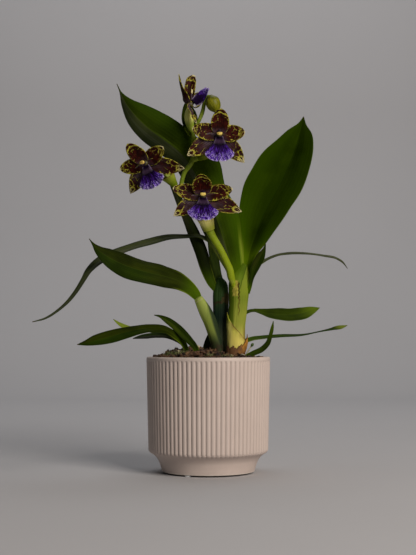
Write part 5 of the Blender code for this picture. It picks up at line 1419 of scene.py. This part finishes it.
def crest_paint():
    """The crest: grey purple ridges lit in a painted band, with painted shade nearly black toward the column
    and the lip, lilac at the ends.
    """
    paint, place, uv = new_paint("crest_skin", IOR=1.42, Specular_IOR_Level=0.12)
    u, v, w = uv.split()
    s = u * 2 - 1
    ridges = (s * math.pi * CREST_RIDGES * CREST_HALF).cosine().step(-0.5, 0.9)
    cloud = place.noise(420.0)
    # Painted light and shade: the ridges lit grey purple across the middle, nearly black in painted shade
    # under the column and toward the lip.
    lit_ridges = v.step(0.05, 0.45) * v.fade(0.55, 0.95) * (0.35 + ridges * 0.65)
    body = lit_ridges.blend((0.008, 0.003, 0.012), (0.055, 0.028, 0.062))
    body = (abs(s).step(0.60, 0.98) * 0.15).blend(body, (0.340, 0.270, 0.400))
    return coat(paint, body, 0.45 + cloud * 0.15, cloud, 0.1)


def down_paint():
    """The lip's fine hairs: lilac."""
    paint, place, uv = new_paint("lip_down", IOR=1.4)
    cloud = place.noise(500.0)
    body = cloud.blend((0.060, 0.030, 0.190), (0.160, 0.110, 0.360))
    return coat(paint, body, 0.6 + cloud * 0.1, cloud, 0.05)


def hair_grids(surface, out, seed):
    """Hairs at random points of a sheet, standing mostly along the direction out."""
    pick = np.random.default_rng(seed)
    i = pick.integers(HAIRLESS_ROWS, surface.shape[0] - 1, LIP_HAIRS)
    j = pick.integers(1, surface.shape[1] - 1, LIP_HAIRS)
    leans = pick.normal(size=(LIP_HAIRS, 3)) * 0.35 + out
    lengths = pick.uniform(0.5, 1.0, LIP_HAIRS)
    return list(strands(surface[i, j], leans, lengths, width=0.11, bend=0.2, seed=seed))


def top_lip_relief(s, v, half):
    """The top bloom's lip, seen edge on: cupped by s squared and ruffled by a sine of s at its rim."""
    return 0.8 * np.sin(14 * s + 1) * v**5 + 0.5 * s**2 * v


crest = crest_paint()
down = down_paint()
for seed, (name, (centre, out, up, tepals, lip)) in enumerate(BLOOMS.items(), 1):
    axes = bloom_frame(out, up)
    fan = placed(lip_grid(*lip, np.linspace(0, 1, 60), np.linspace(-1, 1, 110)), centre, axes)
    cushion = placed(crest_grid(*lip), centre, axes)
    hairs = hair_grids(fan, unit(np.array(out, float)), seed)
    skin = lip_paint(f"lip_{name}_skin", seed * 2.3)
    add_piece(f"lip_{name}_fan", build_mesh([fan]), skin, ["lip_" + name], LIP_WALL)
    add_piece(f"crest_{name}", build_mesh([cushion]), crest, ["lip_" + name], CREST_WALL)
    add_piece(f"down_{name}", build_mesh(hairs), down, ["lip_" + name])
fan = blade_grid(TOP_LIP, TOP_LIP_FOLD, *TOP_LIP_MESH, top_lip_relief)
skin = lip_paint("lip_top_skin", 11.0)
add_piece("lip_top_fan", build_mesh([fan]), skin, ["lip_top"], LIP_WALL)


# The column stands out over the crest: a short dark purple stalk that ends in the waxy cream cap over its
# pollen. The top bloom's is seen from its side, and slimmer.
COLUMN = ((0.0, -3.6, 0.9, 1.9), (0.0, -5.6, 1.7, 2.4), (0.0, -8.0, 1.7, 2.9), (0.0, -9.6, 0.8, 2.4))
# Each cap's centre in its bloom's own axes, and the half sizes of a cap.
CAPS = {"lower": (0.0, -9.9, 0.3), "left": (1.2, -9.9, 3.0), "right": (0.0, -9.9, -0.1)}
CAP_SIZE = (3.1, 1.5, 2.1)
COLUMN_MESH = (24, 28)
TOP_COLUMN = ((-17.8, -44, 399.2, 0.9), (-18, -44.2, 402, 0.9), (-17.8, -44, 407, 0.9),
              (-17.4, -44, 410, 0.8))
TOP_CAP = ((-17.6, -44.2, 408.4), (1.0, 1.0, 2.8))


def column_paint(name, stalk, cap):
    """A column: kind 0 is its stalk, and 1 its waxy cap, mottled brown."""
    paint, place, uv = new_paint(name, IOR=1.45, Specular_IOR_Level=0.2)
    cloud = place.noise(600.0, 3.0)
    dark = cloud.step(0.5, 0.75).blend(stalk, (0.060, 0.040, 0.050))
    mottled = (cloud.step(0.46, 0.60) * 0.75).blend(cap, (0.260, 0.130, 0.030))
    body = place.kind().step(0.4, 0.6).blend(dark, mottled)
    return coat(paint, body, 0.32 + cloud * 0.15, cloud, 0.08)


def add_column(name, stalk, cap, paint):
    """One bloom's column, of the grids of its stalk and its cap."""
    mesh = build_mesh([stalk, cap], wrap=True, closed=True)
    add_piece(f"column_{name}_cap", mesh, paint, ["column_" + name])


column = column_paint("column_skin", (0.012, 0.005, 0.014), (0.72, 0.56, 0.13))
for name, (centre, out, up, tepals, lip) in BLOOMS.items():
    axes = bloom_frame(out, up)
    stalk = placed(tube_grid(COLUMN, *COLUMN_MESH), centre, axes)
    add_column(name, stalk, placed(ball_grid(CAPS[name], CAP_SIZE), centre, axes), column)
pale_column = column_paint("top_column_skin", (0.040, 0.022, 0.030), (0.66, 0.58, 0.26))
add_column("top", tube_grid(TOP_COLUMN, *COLUMN_MESH), ball_grid(*TOP_CAP), pale_column)


# One bud is still closed: an olive egg that nods from its stalk, with the seams of three sepals.
BUD = ((1.9, -43.4, 402.5, 4, 4), (3.4, -43.8, 399.4, 7, 6.8), (5.6, -44.4, 394.6, 7.7, 7.4),
       (7.8, -45, 389.8, 5.8, 5.6), (9, -45.4, 386.8, 3, 3))
BUD_MESH = (50, 72)


def bud_swell(count, sides):
    """Three shallow seams: the radius falls in a narrow bell curve at each third of a turn."""
    v, turn = tube_places(count, sides)
    near = (turn * 3 / (2 * math.pi) + 0.25 + 0.1 * v) % 1.0 - 0.5
    return -0.35 * np.exp(-((near / 0.06) ** 2)) * np.sin(math.pi * v) ** 0.5


def bud_paint():
    """Olive green, lighter toward its tip and in patches, with fine veins."""
    paint, place, uv = new_paint("bud_skin", IOR=1.42, Specular_IOR_Level=0.2)
    u, v, w = uv.split()
    lines = uv.stretch(60.0, 2.0, 1.0).noise(1.0, 3.0)
    cloud = place.noise(150.0, 3.0)
    body = v.step(0.1, 0.8).blend((0.085, 0.093, 0.002), (0.170, 0.174, 0.004))
    body = (cloud.step(0.48, 0.62) * 0.6).blend(body, (0.240, 0.235, 0.014))
    body = (lines.step(0.46, 0.62) * 0.65).blend(body, (0.040, 0.050, 0.001))
    return coat(paint, body, 0.32 + cloud * 0.12, lines, 0.10)


bud_mesh = build_mesh([tube_grid(BUD, *BUD_MESH, bud_swell(*BUD_MESH))], wrap=True, closed=True)
add_piece("bud_sepals", bud_mesh, bud_paint(), ["bud"])


# A pale aerial root comes out of the bark at the main growth's right, with a green growing tip. Older
# roots loop out of the growth's foot and back into the bark.
ROOT = ((41.5, -9.5, 122.6, 0.8), (42.2, -10, 129.6, 0.8), (44.6, -10.4, 133.4, 0.8),
        (46.6, -10.8, 136.6, 0.9), (47.8, -11, 138.4, 1.7), (48.6, -11.1, 139.6, 1.0))
OLD_ROOTS = (
    ((34, -10, 126, 1.2), (36, -15, 127.5, 1.2), (38.5, -20, 126.5, 1.1), (40, -24, 122, 1.0)),
    ((28, -11, 125, 1.3), (25, -17, 126.5, 1.3), (22, -23, 125.5, 1.2), (20, -28, 121, 1.1)),
    ((22, -9, 126, 1.1), (17, -15, 127, 1.1), (11, -20, 126, 1.0), (6, -24, 121, 1.0)),
    ((38, 0, 126, 1.2), (45, 4, 127.5, 1.2), (51, 10, 125, 1.1), (54, 15, 121, 1.0)),
)
ROOT_MESH = (40, 20)


def root_paint():
    """Silvery skin over green; the aerial root, kind 0, has a dark green tip."""
    paint, place, uv = new_paint("root_skin", IOR=1.4)
    u, v, w = uv.split()
    cloud = place.noise(380.0, 3.0)
    body = cloud.step(0.35, 0.7).blend((0.30, 0.30, 0.16), (0.55, 0.53, 0.40))
    body = (cloud.step(0.6, 0.75) * 0.5).blend(body, (0.20, 0.13, 0.06))
    body = (v.step(0.70, 0.82) * place.kind().fade(0.4, 0.6)).blend(body, (0.05, 0.09, 0.015))
    return coat(paint, body, 0.6 + cloud * 0.2, cloud, 0.2)


root_grids = [tube_grid(stations, *ROOT_MESH) for stations in (ROOT, *OLD_ROOTS)]
root_mesh = build_mesh(root_grids, wrap=True, closed=True)
add_piece("roots", root_mesh, root_paint(), ["root_tip"])


# A plain pale floor that turns up into a wall behind, a broad soft light from the front right, a faint
# warm one beside it and one on the wall, and the camera where the photograph was taken from.
BEND = 900.0             # the radius of the floor's bend
BEND_START = 1500.0      # how far behind the plant it begins
ROOM = 6000.0            # how far the floor reaches to the front and to each side
WALL_TOP = 5200.0


def sweep_grid():
    """A floor that bends up at the back by a quarter circle, the same all along X."""
    turn = np.linspace(0, math.pi / 2, 24)
    y = np.concatenate([[-ROOM], BEND_START + BEND * np.sin(turn), [BEND_START + BEND]])
    z = np.concatenate([[0.0], BEND - BEND * np.cos(turn), [WALL_TOP]])
    x = np.linspace(-ROOM, ROOM, 3)
    return np.stack([x + 0 * y[:, None], y[:, None] + 0 * x, z[:, None] + 0 * x], axis=-1)


def sweep_paint():
    """Pale grey paper, with a barely visible tooth."""
    paint, place, uv = new_paint("pale_paper", IOR=1.4)
    cloud = place.noise(3.0)
    tooth = place.noise(900.0)
    body = cloud.blend((0.44, 0.43, 0.435), (0.46, 0.45, 0.455))
    return coat(paint, body, 0.9 + tooth * 0.1, tooth, 0.02)


sweep_mesh = build_mesh([sweep_grid()])
sweep_mesh.materials.append(sweep_paint())
sweep = bpy.data.objects.new("sweep", sweep_mesh)
bpy.context.scene.collection.objects.link(sweep)

world = bpy.data.worlds.new("soft_room")
world.use_nodes = True
sky = world.node_tree.nodes["Background"].inputs
sky["Color"].default_value = (0.88, 0.95, 1.0, 1.0)
sky["Strength"].default_value = 0.06
bpy.context.scene.world = world


def add_light(name, place, target, size, watts, colour):
    """A square soft light at a place in metres, turned to look at its target."""
    lamp = bpy.data.lights.new(name, "AREA")
    lamp.shape = "SQUARE"
    lamp.size = size
    lamp.energy = watts
    lamp.color = colour
    thing = bpy.data.objects.new(name, lamp)
    thing.location = place
    thing.rotation_euler = (Vector(place) - Vector(target)).to_track_quat("Z", "Y").to_euler()
    bpy.context.scene.collection.objects.link(thing)


add_light("window", (1.10, -1.69, 1.10), (0.0, 0.0, 0.20), 1.0, 42.0, (1.0, 0.93, 0.86))
add_light("warm_side", (1.90, -0.50, 0.40), (0.0, 0.0, 0.20), 1.0, 2.0, (1.0, 0.62, 0.36))
add_light("wall_light", (0.0, 0.90, 2.40), (0.0, 2.40, 0.60), 2.0, 27.0, (0.97, 0.98, 1.0))

CAMERA_PLACE = (-0.33, -1238.0, 142.4)
CAMERA_PITCH = 3.2165    # degrees upward
lens = bpy.data.cameras.new("camera")
lens.lens = 73.3
lens.clip_end = 50.0
camera = bpy.data.objects.new("camera", lens)
camera.location = Vector(CAMERA_PLACE) * MM
camera.rotation_euler = (math.radians(90 + CAMERA_PITCH), 0.0, 0.0)
bpy.context.scene.collection.objects.link(camera)
bpy.context.scene.camera = camera
bpy.context.scene.view_settings.view_transform = "Standard"
